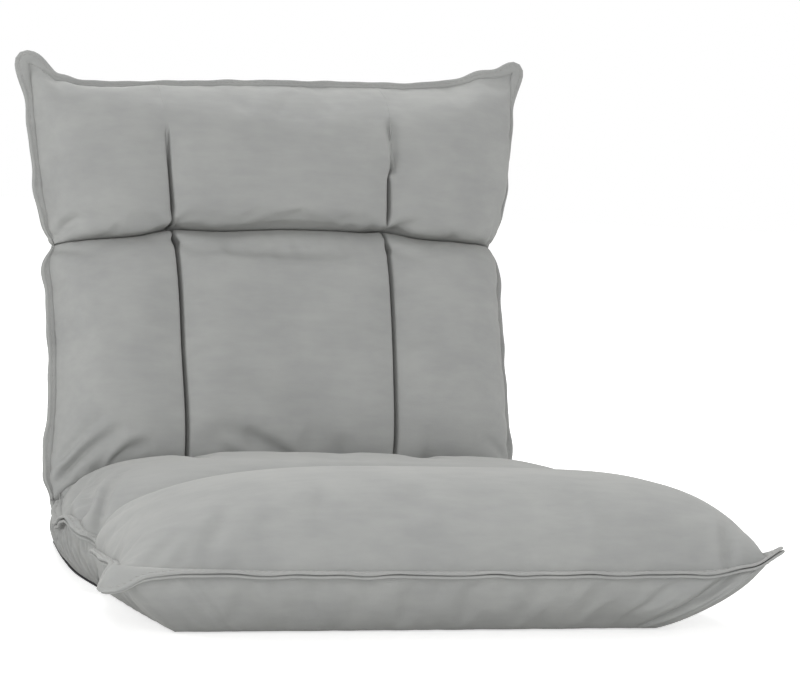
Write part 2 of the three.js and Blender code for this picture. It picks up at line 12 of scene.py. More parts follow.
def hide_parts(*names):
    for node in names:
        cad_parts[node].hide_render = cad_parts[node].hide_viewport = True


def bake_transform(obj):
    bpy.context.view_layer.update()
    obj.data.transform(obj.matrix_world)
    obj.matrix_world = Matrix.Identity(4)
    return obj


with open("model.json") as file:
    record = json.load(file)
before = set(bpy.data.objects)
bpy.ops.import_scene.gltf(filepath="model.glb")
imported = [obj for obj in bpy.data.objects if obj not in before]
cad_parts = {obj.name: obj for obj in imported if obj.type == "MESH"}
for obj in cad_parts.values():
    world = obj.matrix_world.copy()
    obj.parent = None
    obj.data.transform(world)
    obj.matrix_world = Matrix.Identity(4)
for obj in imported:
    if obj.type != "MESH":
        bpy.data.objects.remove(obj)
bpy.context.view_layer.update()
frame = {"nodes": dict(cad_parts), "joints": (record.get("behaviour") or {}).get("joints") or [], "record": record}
print("frame loaded:", len(frame["nodes"]), "nodes")

scene = bpy.context.scene
mm = 0.001
joints = {j["name"]: j for j in frame["joints"]}
backHinge = np.array(joints["back_recline"]["pos_m"]) / mm
headHinge = np.array(joints["head_tilt"]["pos_m"]) / mm
legHinge = np.array(joints["leg_raise"]["pos_m"]) / mm

backLength = float(np.linalg.norm(headHinge - backHinge))
seatLength = float(backHinge[1] - legHinge[1])
hingeHeight = float(backHinge[2])
backTurn = math.degrees(math.atan2(headHinge[2] - backHinge[2], headHinge[1] - backHinge[1]))
headTurn = 8.0  # the head section leans this much more than the back

# Each section's folds, the last one turned first: where it is on the unfolded chair, and its angle
folds = {
    "leg": [],
    "seat": [],
    "back": [(0.0, backTurn)],
    "head": [(backLength, headTurn), (0.0, backTurn)],
}


# The camera stands where the photograph was taken from

cameraSet = {
    "place": (-0.788, -2.484, 0.431),
    "yaw": 18.81,  # degrees to the right of straight ahead
    "pitch": -4.22,
    "roll": 3.11,
    "lens": 116.9,
    "sensor": 36.0,
}


def placeAt(thing, right, up, back, place):
    # the matrix whose columns are the directions of x, y and z, and the place
    turned = np.eye(4)
    turned[:3] = np.stack([right, up, back, place], axis=1)
    thing.matrix_world = Matrix(turned.tolist())


def aimCamera(v):
    # forward = (sin yaw cos pitch, cos yaw cos pitch, sin pitch); right and up turn about it by
    # the roll
    yaw, pitch, roll = (math.radians(v[k]) for k in ("yaw", "pitch", "roll"))
    ahead = np.array([math.sin(yaw), math.cos(yaw), 0.0])
    forward = ahead * math.cos(pitch) + np.array([0, 0, math.sin(pitch)])
    level = np.array([math.cos(yaw), -math.sin(yaw), 0.0])
    above = np.cross(level, forward)
    right = level * math.cos(roll) + above * math.sin(roll)
    up = above * math.cos(roll) - level * math.sin(roll)
    data = bpy.data.cameras.new("camera")
    data.lens, data.sensor_width = v["lens"], v["sensor"]
    data.clip_start, data.clip_end = 0.05, 60
    eye = bpy.data.objects.new("camera", data)
    scene.collection.objects.link(eye)
    placeAt(eye, right, up, -forward, v["place"])
    scene.camera = eye


aimCamera(cameraSet)


# Lines and grids as arrays


def through(knots, at):
    # a smooth line through (position, value) knots: cubic pieces, their slopes from the neighbours
    x, y = np.array(knots, float).T
    at = np.clip(at, x[0], x[-1])
    slope = np.gradient(y, x) if len(x) > 2 else np.full(2, (y[1] - y[0]) / (x[1] - x[0]))
    i = np.clip(np.searchsorted(x, at, side="right") - 1, 0, len(x) - 2)
    step = x[i + 1] - x[i]
    u = (at - x[i]) / step
    start, end = y[i], y[i + 1]
    return (
        start * (1 + 2 * u) * (1 - u) ** 2
        + end * u**2 * (3 - 2 * u)
        + slope[i] * step * u * (1 - u) ** 2
        - slope[i + 1] * step * u**2 * (1 - u)
    )


def bezier(points, count):
    # (1-u)^3 A + 3 (1-u)^2 u B + 3 (1-u) u^2 C + u^3 D
    a, b, c, d = np.array(points, float)
    u = np.linspace(0, 1, count)[:, None]
    return a * (1 - u) ** 3 + 3 * b * u * (1 - u) ** 2 + 3 * c * u**2 * (1 - u) + d * u**3


def lengthAlong(line):
    # the distance from the line's first point to each of its points
    return np.r_[0, np.cumsum(np.linalg.norm(np.diff(line, axis=0), axis=1))]


def evenly(line, count):
    # the same line, its points at equal distances along it
    length = lengthAlong(line)
    at = np.linspace(0, length[-1], count)
    return np.stack([np.interp(at, length, line[:, k]) for k in range(line.shape[1])], axis=1)


def smoothed(line, times):
    # each pass moves a point half way to the middle of its neighbours; the ends stay
    for _ in range(times):
        line = line.copy()
        line[1:-1] = line[1:-1] * 0.5 + (line[:-2] + line[2:]) * 0.25
    return line


def ripple(at, waves):
    # a sum of sines: size times the sine of 2 pi (position / length + shift)
    return sum(size * np.sin(2 * np.pi * (at / length + shift)) for size, length, shift in waves)


def rise(at, low, high):
    # 0 up to low, 1 from high on, and 3u^2 - 2u^3 between them
    u = np.clip((at - low) / (high - low), 0, 1)
    return u * u * (3 - 2 * u)


def hump(at, place, reach):
    # 1 at the place, falling as exp(-(distance / reach)^2)
    return np.exp(-(((at - place) / reach) ** 2))


def unit(v):
    # the same directions, one long
    return v / np.maximum(np.linalg.norm(v, axis=-1, keepdims=True), 1e-9)


def toRow(points, section):
    # unfolded mm to the sitting position in metres: a turn about each fold's hinge line in turn,
    # y' = y cos a - z sin a and z' = y sin a + z cos a
    p = np.array(points, float)
    for foldY, angle in folds[section]:
        c, s = math.cos(math.radians(angle)), math.sin(math.radians(angle))
        y, z = p[..., 1] - foldY, p[..., 2] - hingeHeight
        p = np.stack([p[..., 0], foldY + y * c - z * s, hingeHeight + y * s + z * c], axis=-1)
    return (p + [0, backHinge[1], 0]) * mm


def gridFaces(rows, columns, first=0, wrap=False):
    # four corners for each cell of a grid, counted row by row; wrap joins the last column to the
    # first
    across = columns if wrap else columns - 1
    j, i = np.meshgrid(np.arange(rows - 1), np.arange(across), indexing="ij")
    a = first + j * columns + i
    b = first + j * columns + (i + 1) % columns
    return np.stack([a, b, b + columns, a + columns], axis=-1).reshape(-1, 4)


def addMesh(name, points, faces, smooth=True):
    # a new object in the scene, its points in metres
    mesh = bpy.data.meshes.new(name)
    mesh.from_pydata(np.asarray(points, float).tolist(), [], [list(map(int, f)) for f in faces])
    mesh.validate()
    mesh.shade_smooth() if smooth else mesh.shade_flat()
    piece = bpy.data.objects.new(name, mesh)
    scene.collection.objects.link(piece)
    return piece


def meshPoints(mesh):
    # a mesh's points as an array, one row each
    flat = np.empty(len(mesh.vertices) * 3, np.float32)
    mesh.vertices.foreach_get("co", flat)
    return flat.reshape(-1, 3).astype(float)


def faceOutwards(piece):
    # every face turned so that its front is outside
    bpy.context.view_layer.objects.active = piece
    bpy.ops.object.mode_set(mode="EDIT")
    bpy.ops.mesh.select_all(action="SELECT")
    bpy.ops.mesh.normals_make_consistent(inside=False)
    bpy.ops.object.mode_set(mode="OBJECT")


def addUv(piece, uv):
    # one (u, v) for each vertex, in metres of cloth, copied to the face corners
    layer = piece.data.uv_layers.new(name="cloth")
    corner = np.empty(len(piece.data.loops), np.int32)
    piece.data.loops.foreach_get("vertex_index", corner)
    layer.data.foreach_set("uv", np.asarray(uv, np.float32)[corner].ravel())


# Cushions

# A cushion's top is a grid. Its rows follow the profile along the middle, from one end to the
# other, and its columns run from side seam to side seam, gathered where a channel is sewn.
# Below the seam a gusset slopes to the outline of the underside.

gridStep = 5.0
baseHeight = 2.2  # underside of the filling, just above the base fabric
foldGap = 0.35  # between two cushions that meet in a fold
gussetSet = {
    "rows": 9,
    "round": 0.8,  # power of the sine that swells it out
    "cornerReach": 75,  # mm round a free corner that bulges more
    "finer": (0.4, 0.53),  # the ribs' second wave: size and length as shares of the first
    "folds": (1.05, 0.5),  # a fold's depth down the gusset is sin(pi u 1.05)^0.5
    "gathers": 0.6,  # power of the sine that fades the gathers out
}
topSet = {
    "crown": 50,  # mm that the top is taken to rise by, where its columns are spaced
    "over": 310,  # mm over the crown from the middle to a side seam
    "ear": 0.10,  # share of the length over which an ear lies flat
    "endFade": 0.3,  # share of the length over which an end is drawn onto its mitre
    "bolster": (128, 190),  # mm from the middle where the outer panels begin to rise, and stand
}

# How a sewn channel is shaped: distance from its middle line in mm, and share of its depth
channelShape = [
    (0, 1.0),
    (1.0, 0.98),
    (1.5, 0.86),
    (1.9, 0.60),
    (2.3, 0.34),
    (3.1, 0.175),
    (4.8, 0.09),
    (8.0, 0.042),
    (12.5, 0.018),
    (18.5, 0.007),
    (25.0, 0.002),
    (32.0, 0.0),
]

channelSet = {
    "stillWithin": (2, 26),  # mm from a channel: where the cloth begins to move, and moves freely
    "stillDeeper": (1, 10),  # depth from which it holds still
    "closed": (6, 24),  # depth at which the shoulders begin to close over it, and are closed
    "faded": (0.3, 5),  # depth below which its columns lie straight
    "bridge": 8,  # columns on each side that are laid straight there
    "walls": (0.8, 1.4),  # least distance of the first column and the others from the middle line
}

# How far the shoulders beside a channel are pulled in over it: distance before and after, in mm
shoulders = [
    (0, 0), (1.9, 1.5), (3.1, 1.9), (4.8, 2.5), (8, 4.4), (12.5, 9.0), (18.5, 16.4), (25, 24.2),
    (32, 32),
]

# Where the crease between two sections runs off its straight line, across the chair
creaseShift = {
    "knee": [
        (-262, -27), (-215, -17), (-150, -5), (-80, 0), (80, 0), (150, -4), (215, -12),
        (262, -20),
    ],
    "hip": [(-260, 0), (260, 0)],
    "neck": [
        (-250, -6), (-203, -1), (-160, 4), (-140, 9), (-126, 12), (-112, 12), (-82, 12), (0, 17),
        (66, 18), (100, 18), (114, 20), (128, 18), (150, 14), (200, 12), (250, 11),
    ],
}
shiftFrom = (6, 44)  # height over which that shift fades in


def bothSides(y, knots):
    # an outline whose right half is its left half mirrored
    return {"y": y, "left": knots, "right": knots}


# Outline of each section's underside: y from and to, and half its width on each side
baseOutline = {
    "leg": {
        "y": (-503, -285),
        "left": [(-503, 236), (-400, 248), (-285, 256)],
        "right": [(-503, 220), (-400, 244), (-285, 256)],
    },
    "seat": bothSides((-285, 0), [(-285, 256), (-200, 262), (-120, 258), (0, 246)]),
    "back": bothSides((0, 300), [(0, 238), (150, 240), (300, 236)]),
    "head": bothSides((300, 470), [(300, 236), (380, 240), (470, 238)]),
}

# In each cushion, "front" and "rear" are the two curves of its profile at the middle, as (y, z);
# "sides" is half its width and "seam" the height of its side seams, by y; "square" is the power
# that squares its cross section; "ribs" are the size and length of the gusset's waves.
# A crease is a curve of three points (x, y), its depth and its width; a "middle" one fades at
# both ends, the others at the far end.

legCushion = {
    "section": "leg",
    "front": [(-545, 60), (-550, 100), (-505, 130), (-438, 131)],
    "rear": [(-395, 130.5), (-335, 122), (-296, 103), (-286, 66)],
    "sides": {
        "left": [(-546, 306), (-520, 295), (-440, 287), (-370, 281), (-330, 270), (-312, 259)],
        "right": [
            (-556, 312), (-525, 313), (-480, 313), (-440, 310), (-370, 299), (-330, 284),
            (-305, 264),
        ],
    },
    "seam": {
        "left": [(-546, 65), (-500, 60), (-440, 56), (-380, 52), (-340, 46), (-312, 43)],
        "right": [(-556, 79), (-500, 68), (-440, 62), (-380, 56), (-340, 50), (-305, 46)],
    },
    "endSeam": [
        (-306, 66), (-274, 66.5), (-243, 66.5), (-185, 64), (-45, 60.5), (46, 60.5), (107, 62),
        (143, 63), (200, 68), (228, 72), (262, 75), (281, 80), (292, 76), (312, 79),
    ],
    "endLine": [(-306, -546), (-250, -543), (-100, -544), (100, -546), (250, -549), (312, -554)],
    "freeEnd": "front",
    "square": {"left": 2.8, "right": 7.5},
    "overhang": {"left": 0, "right": 6},
    "ear": {"left": 4, "right": 3},
    "base": baseOutline["leg"],
    "rim": 0.5,  # height of the cover's lower edge
    "gussetBulge": 4,
    "cornerBulge": {"left": 3, "right": 13},
    "ribs": (1.0, 46),
    "gussetFolds": [
        (-243, 5, 5), (281, 15, 7), (300, 3, 4), (236, 2.0, 9), (-120, 1.2, 25), (60, 1.0, 30),
    ],
    "creases": [
        ([(271, -545), (284, -520), (300, -496)], 7.2, 9),
        ([(-300, -500), (-283, -470), (-262, -430)], 3.5, 8),
        ([(-275, -345), (-262, -380), (-240, -420)], 4.8, 9),
        ([(-268, -330), (-235, -345), (-190, -352)], 4.2, 8),
        ([(-220, -536), (-190, -500), (-170, -470)], 1.9, 10),
        ([(150, -540), (165, -500), (170, -460)], 1.6, 12),
    ],
}

seatCushion = {
    "section": "seat",
    "front": [(-284, 66), (-277, 92), (-248, 107), (-200, 109)],
    "rear": [(-120, 108), (-84, 107), (-61, 103), (-38.2, 76.6)],
    "sides": {
        "left": [(-312, 259), (-280, 269), (-225, 274), (-150, 266), (-80, 256), (-27, 244)],
        "right": [(-305, 264), (-270, 284), (-200, 294), (-140, 292), (-70, 280), (-27, 256)],
    },
    "seam": {
        "left": [
            (-312, 43), (-285, 52), (-255, 60), (-215, 58), (-180, 49), (-135, 41), (-80, 46),
            (-27, 54),
        ],
        "right": [(-305, 46), (-262, 54), (-232, 60), (-200, 59), (-150, 56), (-90, 55), (-27, 54)],
    },
    "square": {"left": 3.6, "right": 9},
    "overhang": {"left": 0, "right": 4},
    "base": baseOutline["seat"],
    "rim": 2.2,
    "gussetBulge": 6,
    "ribs": (3.0, 21),
    "gathers": 1,
    "channels": {
        "left": [(-285, 128), (0, 118)],
        "right": [(-285, 122), (0, 112)],
        "leftDepth": [(-285, 0), (-150, 2), (-95, 7), (-38, 22)],
        "rightDepth": [(-285, 0), (-150, 2), (-95, 7), (-38, 22)],
    },
    "creases": [
        ([(-266, -292), (-246, -235), (-214, -165)], 12.0, 7),
        ([(-268, -258), (-252, -200), (-226, -130)], 11.0, 7),
        ([(-262, -210), (-248, -160), (-222, -112)], 6.1, 7),
        ([(-252, -30), (-236, -52), (-206, -64)], 6.1, 6),
        ([(-262, -150), (-246, -115), (-222, -80)], 4.4, 8),
        ([(-126, -50), (-128, -85), (-134, -125)], 7.8, 6),
        ([(116, -50), (120, -84), (130, -120)], 5.8, 7),
        ([(20, -58), (30, -90), (34, -130)], 2.7, 13),
    ],
}

backCushion = {
    "section": "back",
    "front": [(38.2, 76.6), (54, 98.5), (76, 106), (118, 106)],
    "rear": [(235, 104), (272, 104), (297, 99), (302, 79)],
    "sides": {
        "left": [(27, 253), (60, 254), (120, 250), (180, 249), (240, 251), (285, 252), (300, 247)],
        "right": [(27, 248), (60, 255), (120, 255), (180, 254), (240, 254), (285, 253), (300, 248)],
    },
    "seam": {
        "left": [(27, 46), (80, 51), (300, 52)],
        "right": [(27, 46), (80, 51), (300, 52)],
    },
    "square": {"left": 4.8, "right": 7.5},
    "overhang": {"left": 0, "right": 5},
    "base": baseOutline["back"],
    "rim": 0.5,
    "gussetBulge": 4,
    "ribs": (0.8, 52),
    "channels": {
        "left": [(38, 117.5), (117, 119), (172, 120.5), (226, 121), (300, 124)],
        "right": [(38, 112), (122, 114), (178, 115.5), (234, 116), (300, 115)],
        "leftDepth": [(38, 42), (100, 38), (240, 38), (300, 42)],
        "rightDepth": [(38, 42), (100, 38), (240, 38), (300, 42)],
    },
    "bolster": 4,
    "creases": [
        ([(-246, 40), (-222, 66), (-186, 84)], 14.0, 6),
        ([(-246, 58), (-226, 82), (-206, 96)], 7.2, 6),
        ([(-196, 50), (-178, 66), (-156, 66)], 11.0, 6),
        ([(-3, 55), (-48, 78), (-92, 84)], 12.0, 8),
        ([(-60, 54), (-84, 70), (-112, 76)], 5.0, 8),
        ([(60, 50), (20, 90), (-30, 120)], 2.5, 16),
        ([(246, 60), (228, 74), (206, 78)], 5.8, 7),
        ([(144, 46), (148, 62), (150, 84)], 4.7, 7),
        ([(114, 294), (132, 284), (156, 280)], 5.0, 6),
        ([(-246, 284), (-228, 280), (-204, 272)], 4.0, 7),
        ([(-126, 294), (-108, 282), (-84, 276)], 4.3, 7),
        ([(-104, 282), (-8, 285), (90, 282)], 6.5, 9, "middle"),
        ([(-90, 150), (-40, 110), (40, 84)], 2.9, 20, "middle"),
    ],
}

headCushion = {
    "section": "head",
    "front": [(304, 79), (298, 104), (326, 109), (362, 106)],
    "rear": [(405, 103), (448, 101), (480, 88), (484, 53)],
    "sides": {
        "left": [
            (300, 248), (320, 253), (344, 259), (376, 264), (425, 270), (468, 275), (495, 281),
        ],
        "right": [
            (300, 248), (323, 254), (350, 259), (390, 266), (440, 271), (490, 275), (519, 283),
        ],
    },
    "seam": {
        "left": [(300, 52), (400, 51), (495, 54)],
        "right": [(300, 52), (400, 51), (519, 54)],
    },
    "endSeam": [(-281, 54), (-240, 52), (0, 51), (240, 52), (283, 54)],
    "endLine": [
        (-281, 495), (-270, 492), (-259, 484), (-246, 476), (-204, 471), (-143, 475), (-30, 483),
        (85, 488), (180, 493), (215, 499), (240, 508), (262, 511), (283, 519),
    ],
    "freeEnd": "rear",
    "square": {"left": 4.4, "right": 6.5},
    "overhang": {"left": 0, "right": 6},
    "ear": {"left": 6, "right": 4},
    "base": baseOutline["head"],
    "rim": 0.5,
    "gussetBulge": 5,
    "ribs": (0.8, 48),
    "channels": {
        "left": [(300, 126), (344, 130), (398, 134), (460, 137)],
        "right": [(300, 114.5), (340, 114), (389, 115), (420, 117), (460, 119)],
        "leftDepth": [(300, 42), (335, 36), (375, 22), (405, 9), (425, 2), (438, 0), (497, 0)],
        "rightDepth": [(300, 42), (335, 38), (370, 28), (392, 12), (404, 2), (412, 0), (497, 0)],
    },
    "bolster": 2,
    "creases": [
        ([(-246, 306), (-238, 318), (-222, 330)], 6.1, 6),
        ([(-246, 314), (-212, 322), (-180, 322)], 3.6, 8),
        ([(-136, 314), (-152, 322), (-176, 324)], 5.4, 7),
        ([(-128, 316), (-110, 326), (-88, 330)], 4.3, 7),
        ([(114, 316), (132, 328), (156, 330)], 6.8, 7),
        ([(104, 318), (90, 330), (72, 336)], 4.7, 7),
        ([(119, 388), (121, 415), (114, 446)], 9.0, 5.5),
        ([(244, 318), (248, 334), (246, 352)], 4.7, 6),
        ([(166, 400), (152, 448), (126, 482)], 2.3, 11, "middle"),
        ([(-248, 484), (-250, 462), (-240, 436)], 3.2, 9),
    ],
}


def foldOf(section, atEnd):
    # (name of the crease, y of its hinge line, lean of the mitre from straight up)
    turn = {"knee": 0.0, "hip": backTurn, "neck": headTurn}
    place = {"knee": -seatLength, "hip": 0.0, "neck": backLength}
    name = {
        ("leg", 1): "knee", ("seat", 0): "knee", ("seat", 1): "hip",
        ("back", 0): "hip", ("back", 1): "neck", ("head", 0): "neck",
    }[section, atEnd]
    return name, place[name], math.tan(math.radians(turn[name] / 2))


def mitreY(section, atEnd, x, z):
    # the mitre goes straight up to the hinge axis, then leans into the section by tan(turn / 2);
    # at the neck it leans below the axis too, which keeps the slit at the rear shut. The crease's
    # own shift fades in above the hinge
    name, foldY, lean = foldOf(section, atEnd)
    into = 1 if atEnd == 0 else -1
    shift = through(creaseShift[name], x) * rise(z, *shiftFrom)
    above = z - hingeHeight if name == "neck" else np.maximum(z - hingeHeight, 0)
    return foldY + shift + into * (foldGap + lean * above)


def isFree(v, atEnd):
    # whether that end of the cushion (0 front or lower, 1 rear or upper) meets no other section
    return v.get("freeEnd") == ("front" if atEnd == 0 else "rear")


def halfColumns(v):
    # one side's columns, from the middle to the seam, as three arrays: shares of the way to the
    # channel, mm from the channel, and shares of the way from the channel's edge to the seam
    q = np.sin(np.linspace(0, np.pi / 2, 400))
    g = (1 - q ** v["square"]["left"]) ** 0.5
    wide = v["sides"]["left"][len(v["sides"]["left"]) // 2][1]
    curve = np.stack([q * wide, g * topSet["crown"]], axis=1)
    if "channels" not in v:
        share = evenly(curve, int(topSet["over"] / gridStep))[:, 0] / wide
        return np.zeros(0), np.zeros(0), share
    c = v["channels"]["left"][0][1]
    edge = channelShape[-1][0]
    middle = np.linspace(0, (c - edge) / c, int((c - edge) / gridStep) + 1)[:-1]
    near = np.array([d for d, _ in channelShape])
    near = np.r_[-near[::-1], near[1:]]
    beyond = curve[curve[:, 0] >= c + edge]
    share = evenly(beyond, int((wide - c) / gridStep) + 4)[:, 0]
    share = (share - share[0]) / (share[-1] - share[0])
    return middle, near, share[1:]


def cushionTop(v):
    # x: columns of both sides. y, z: profile at the middle, eased to even steps along the side
    # seam. z = seam + (profile - seam) (1 - |x/w|^n)^0.5, less the channel's depth times its shape.
    # loose is how far the cloth simulation may move a point: 0 in a deep channel, 1 away from it
    section, free = v["section"], v.get("freeEnd")
    profile = np.concatenate([bezier(v["front"], 60), bezier(v["rear"], 60)])
    rows = int(lengthAlong(profile)[-1] / gridStep) + 1
    profile = evenly(profile, rows)
    t = np.linspace(0, 1, rows)
    toEnd = 1 - t if free == "front" else t
    middle, near, share = halfColumns(v)
    parts = []
    for side in ("left", "right"):
        knots = v["sides"][side]
        yEdge = knots[0][0] + (knots[-1][0] - knots[0][0]) * t
        w = through(knots, yEdge)[:, None]
        seam = through(v["seam"][side], yEdge)[:, None]
        if "channels" in v:
            path = through(v["channels"][side], profile[:, 0])[:, None]
            edge = channelShape[-1][0]
            beyond = path + edge + (w - path - edge) * share
            x = np.concatenate([middle * path, path + near, beyond], axis=1)
            away = np.abs(x - path)
        else:
            x = w * share
            away = np.full_like(x, 1e3)
        # near a free corner the crown ends short of the seam, which leaves a flat ear
        ear = v["ear"][side] * hump(toEnd, 1, topSet["ear"])[:, None] if free else 0
        q = np.clip(x / (w - ear), 0, 1)
        g = np.sqrt(np.clip(1 - q ** v["square"][side], 0, 1))
        # a full side hangs over its seam, most at half height and nothing at the section's ends
        over = v.get("overhang", {}).get(side, 0) * np.sin(np.pi * t)[:, None] ** 0.5
        x = x + over * q**6 * 4 * g * (1 - g)
        parts.append(np.broadcast_arrays(x, w, seam, yEdge[:, None], away, g))
    # the left half mirrored, its middle column left out
    x, w, seam, yEdge, away, g = (
        np.concatenate([a[:, :0:-1], b], axis=1) for a, b in zip(*parts)
    )
    x[:, : x.shape[1] // 2] *= -1
    q = np.abs(x) / w
    nominal = v["front"][0][1] if free == "front" else v["seam"]["left"][-1][1]
    seamZ = nominal + (seam - nominal) * q**4
    if free:
        # the side seams and the end seam mixed, so that they agree at the corners
        endRow = 0 if free == "front" else -1
        end = through(v["endSeam"], x)
        corner = seam[endRow][None, :] - nominal
        fade = toEnd[:, None] ** 4
        seamZ = seamZ + (end - nominal) * fade - corner * q**4 * fade
    ease = np.sqrt(g)
    y = yEdge + (profile[:, :1] - yEdge) * ease
    z = seamZ + (profile[:, 1:] - seamZ) * g
    if free:
        # the free edge follows its own line across, and the rows near it follow the edge
        off = through(v["endLine"], x[endRow]) - y[endRow]
        y = y + off[None, :] * toEnd[:, None] ** 5
    loose = np.ones_like(z)
    if "bolster" in v:
        # the outer panels stand a little higher than the middle one
        high = v["bolster"] * np.sqrt(np.sin(np.pi * t).clip(0))[:, None]
        z = z + g * rise(np.abs(x), *topSet["bolster"]) * high
    if "channels" in v:
        shape = np.array(channelShape, float)
        deep = [through(v["channels"][k], profile[:, 0]) for k in ("leftDepth", "rightDepth")]
        depth = np.where(x < 0, deep[0][:, None], deep[1][:, None])
        z = np.maximum(z - depth * np.interp(away, shape[:, 0], shape[:, 1]), seamZ)
        still = 1 - rise(away, *channelSet["stillWithin"])
        loose = 1 - still * rise(depth, *channelSet["stillDeeper"])
    for atEnd in (0, 1):
        if isFree(v, atEnd):
            continue
        row = 0 if atEnd == 0 else -1
        off = mitreY(section, atEnd, x[row], z[row]) - y[row]
        fade = rise(t if atEnd else 1 - t, 1 - topSet["endFade"], 1)[:, None]
        y = y + off[None, :] * fade
    return np.stack([x, y, z], axis=-1), t, loose


def loopOf(grid):
    # the border of a grid, counterclockwise seen from above, without repeating the first point
    return np.concatenate([grid[0, :], grid[1:, -1], grid[-1, -2::-1], grid[-2:0:-1, 0]])


def clampToFolds(points, v):
    # nothing passes the mitre planes to the neighbouring sections
    p = points.copy()
    x, z = p[:, 0], p[:, 2]
    if not isFree(v, 0):
        p[:, 1] = np.maximum(p[:, 1], mitreY(v["section"], 0, x, z))
    if not isFree(v, 1):
        p[:, 1] = np.minimum(p[:, 1], mitreY(v["section"], 1, x, z))
    return p


def halfWidth(v, x, y):
    # half the width of the underside at y, on the side that x is on
    left, right = through(v["left"], y), through(v["right"], y)
    return np.where(x < 0, left, right)


def makeCushion(v):
    # top grid, gusset rings between its border and the underside's, and the underside grid;
    # a ring is the straight way down plus (bulge + ribs) sin(pi u)^round outwards
    section, free = v["section"], v.get("freeEnd")
    top, t, loose = cushionTop(v)
    rows, columns = top.shape[:2]
    low, high = v["base"]["y"]
    yBase = low + (high - low) * t
    for atEnd, row in ((0, 0), (1, -1)):
        if not isFree(v, atEnd):
            yBase[row] = mitreY(section, atEnd, 0.0, baseHeight)
    w = np.stack([-top[:, 0, 0], top[:, -1, 0]], axis=1)
    share = np.where(top[..., 0] < 0, top[..., 0] / w[:, :1], top[..., 0] / w[:, 1:])
    bottom = np.zeros((rows, columns, 3))
    bottom[..., 0] = share * halfWidth(v["base"], share, yBase[:, None])
    bottom[..., 1] = yBase[:, None]
    # the cover is turned in round the base fabric, so its edge lies lower than the filling
    bottom[..., 2] = baseHeight
    bottom[:, [0, -1], 2] = v["rim"]
    if free:
        bottom[0 if free == "front" else -1, :, 2] = v["rim"]
    above, below = loopOf(top), loopOf(bottom)
    index = loopOf(np.arange(rows * columns).reshape(rows, columns))
    isStart = np.isin(index, np.arange(columns))
    isEnd = np.isin(index, np.arange((rows - 1) * columns, rows * columns))
    u = np.linspace(0, 1, gussetSet["rows"] + 2)[1:-1][:, None, None]
    rings = above + (below - above) * u
    ahead = np.roll(below, -1, 0) - np.roll(below, 1, 0)
    out = unit(np.stack([ahead[:, 1], -ahead[:, 0], 0 * ahead[:, 0]], axis=1))
    size, wave = v["ribs"]
    along = lengthAlong(below)
    less, shorter = gussetSet["finer"]
    ribs = ripple(along, [(size, wave, 0.1), (size * less, wave * shorter, 0.3)])
    swell = v["gussetBulge"] + ribs
    for side in ("left", "right"):
        if "cornerBulge" in v:
            corner = top[0 if free == "front" else -1, 0 if side == "left" else -1]
            far = np.linalg.norm(above[:, :2] - corner[:2], axis=1)
            swell = swell + v["cornerBulge"][side] * hump(far, 0, gussetSet["cornerReach"])
    bulge = swell[None, :, None] * np.sin(np.pi * u) ** gussetSet["round"]
    stretched, power = gussetSet["folds"]
    pressed = np.sin(np.pi * np.clip(u * stretched, 0, 1)) ** power
    for place, depth, width in v.get("gussetFolds", []):
        near = hump(above[:, 0], place, width) * isStart
        bulge = bulge - depth * near[None, :, None] * pressed
    rings = rings + out * bulge
    for atEnd, isThere in ((0, isStart), (1, isEnd)):
        if not isFree(v, atEnd):
            # an end that meets the next section is flat, on the mitre
            straight = above[isThere, 0] + (below[isThere, 0] - above[isThere, 0]) * u[:, :, 0]
            rings[:, isThere, 0] = straight
            rings[:, isThere, 1] = mitreY(section, atEnd, straight, rings[:, isThere, 2])
    points = np.concatenate([top.reshape(-1, 3), rings.reshape(-1, 3), bottom.reshape(-1, 3)])
    ring = len(index)
    firstRing, firstBottom = rows * columns, rows * columns + gussetSet["rows"] * ring
    levels = [index] + [firstRing + k * ring + np.arange(ring) for k in range(gussetSet["rows"])]
    levels.append(firstBottom + index)
    faces = [gridFaces(rows, columns)]
    for a, b in zip(levels[:-1], levels[1:]):
        faces.append(np.stack([a, b, np.roll(b, -1), np.roll(a, -1)], axis=1))
    faces.append(gridFaces(rows, columns, firstBottom)[:, ::-1])
    held = np.zeros(len(points))
    held[index] = 1
    held[firstBottom:] = 1
    freely = np.ones(len(points))
    freely[: rows * columns] = loose.ravel()
    held[freely < 0.01] = 1
    # where the gusset is gathered at its seam: most at half height, nothing at the section's ends
    gathered = np.zeros(len(points))
    beside = ~isStart & ~isEnd
    share = np.sin(np.pi * u[:, :, 0]) ** gussetSet["gathers"] * beside * v.get("gathers", 0)
    gathered[firstRing:firstBottom] = share.ravel()
    return {
        "points": clampToFolds(points, v),
        "faces": np.concatenate(faces),
        "top": (rows, columns),
        "held": held,
        "loose": freely,
        "gathered": gathered,
    }


clothSet = {
    "frames": 18,
    "steps": 5,
    "pressure": 3.2,
    "mass": 0.25,
    "air": 2,
    "tension": 14,
    "damping": 12,
    "shear": 4,
    "bending": 1.6,
    "shrink": -0.014,  # below 0 the cloth is cut larger than the form, and puckers at the seams
    "cap": {"leg": 6, "seat": 6, "back": 5, "head": 6},  # most that a point may move, in mm
}


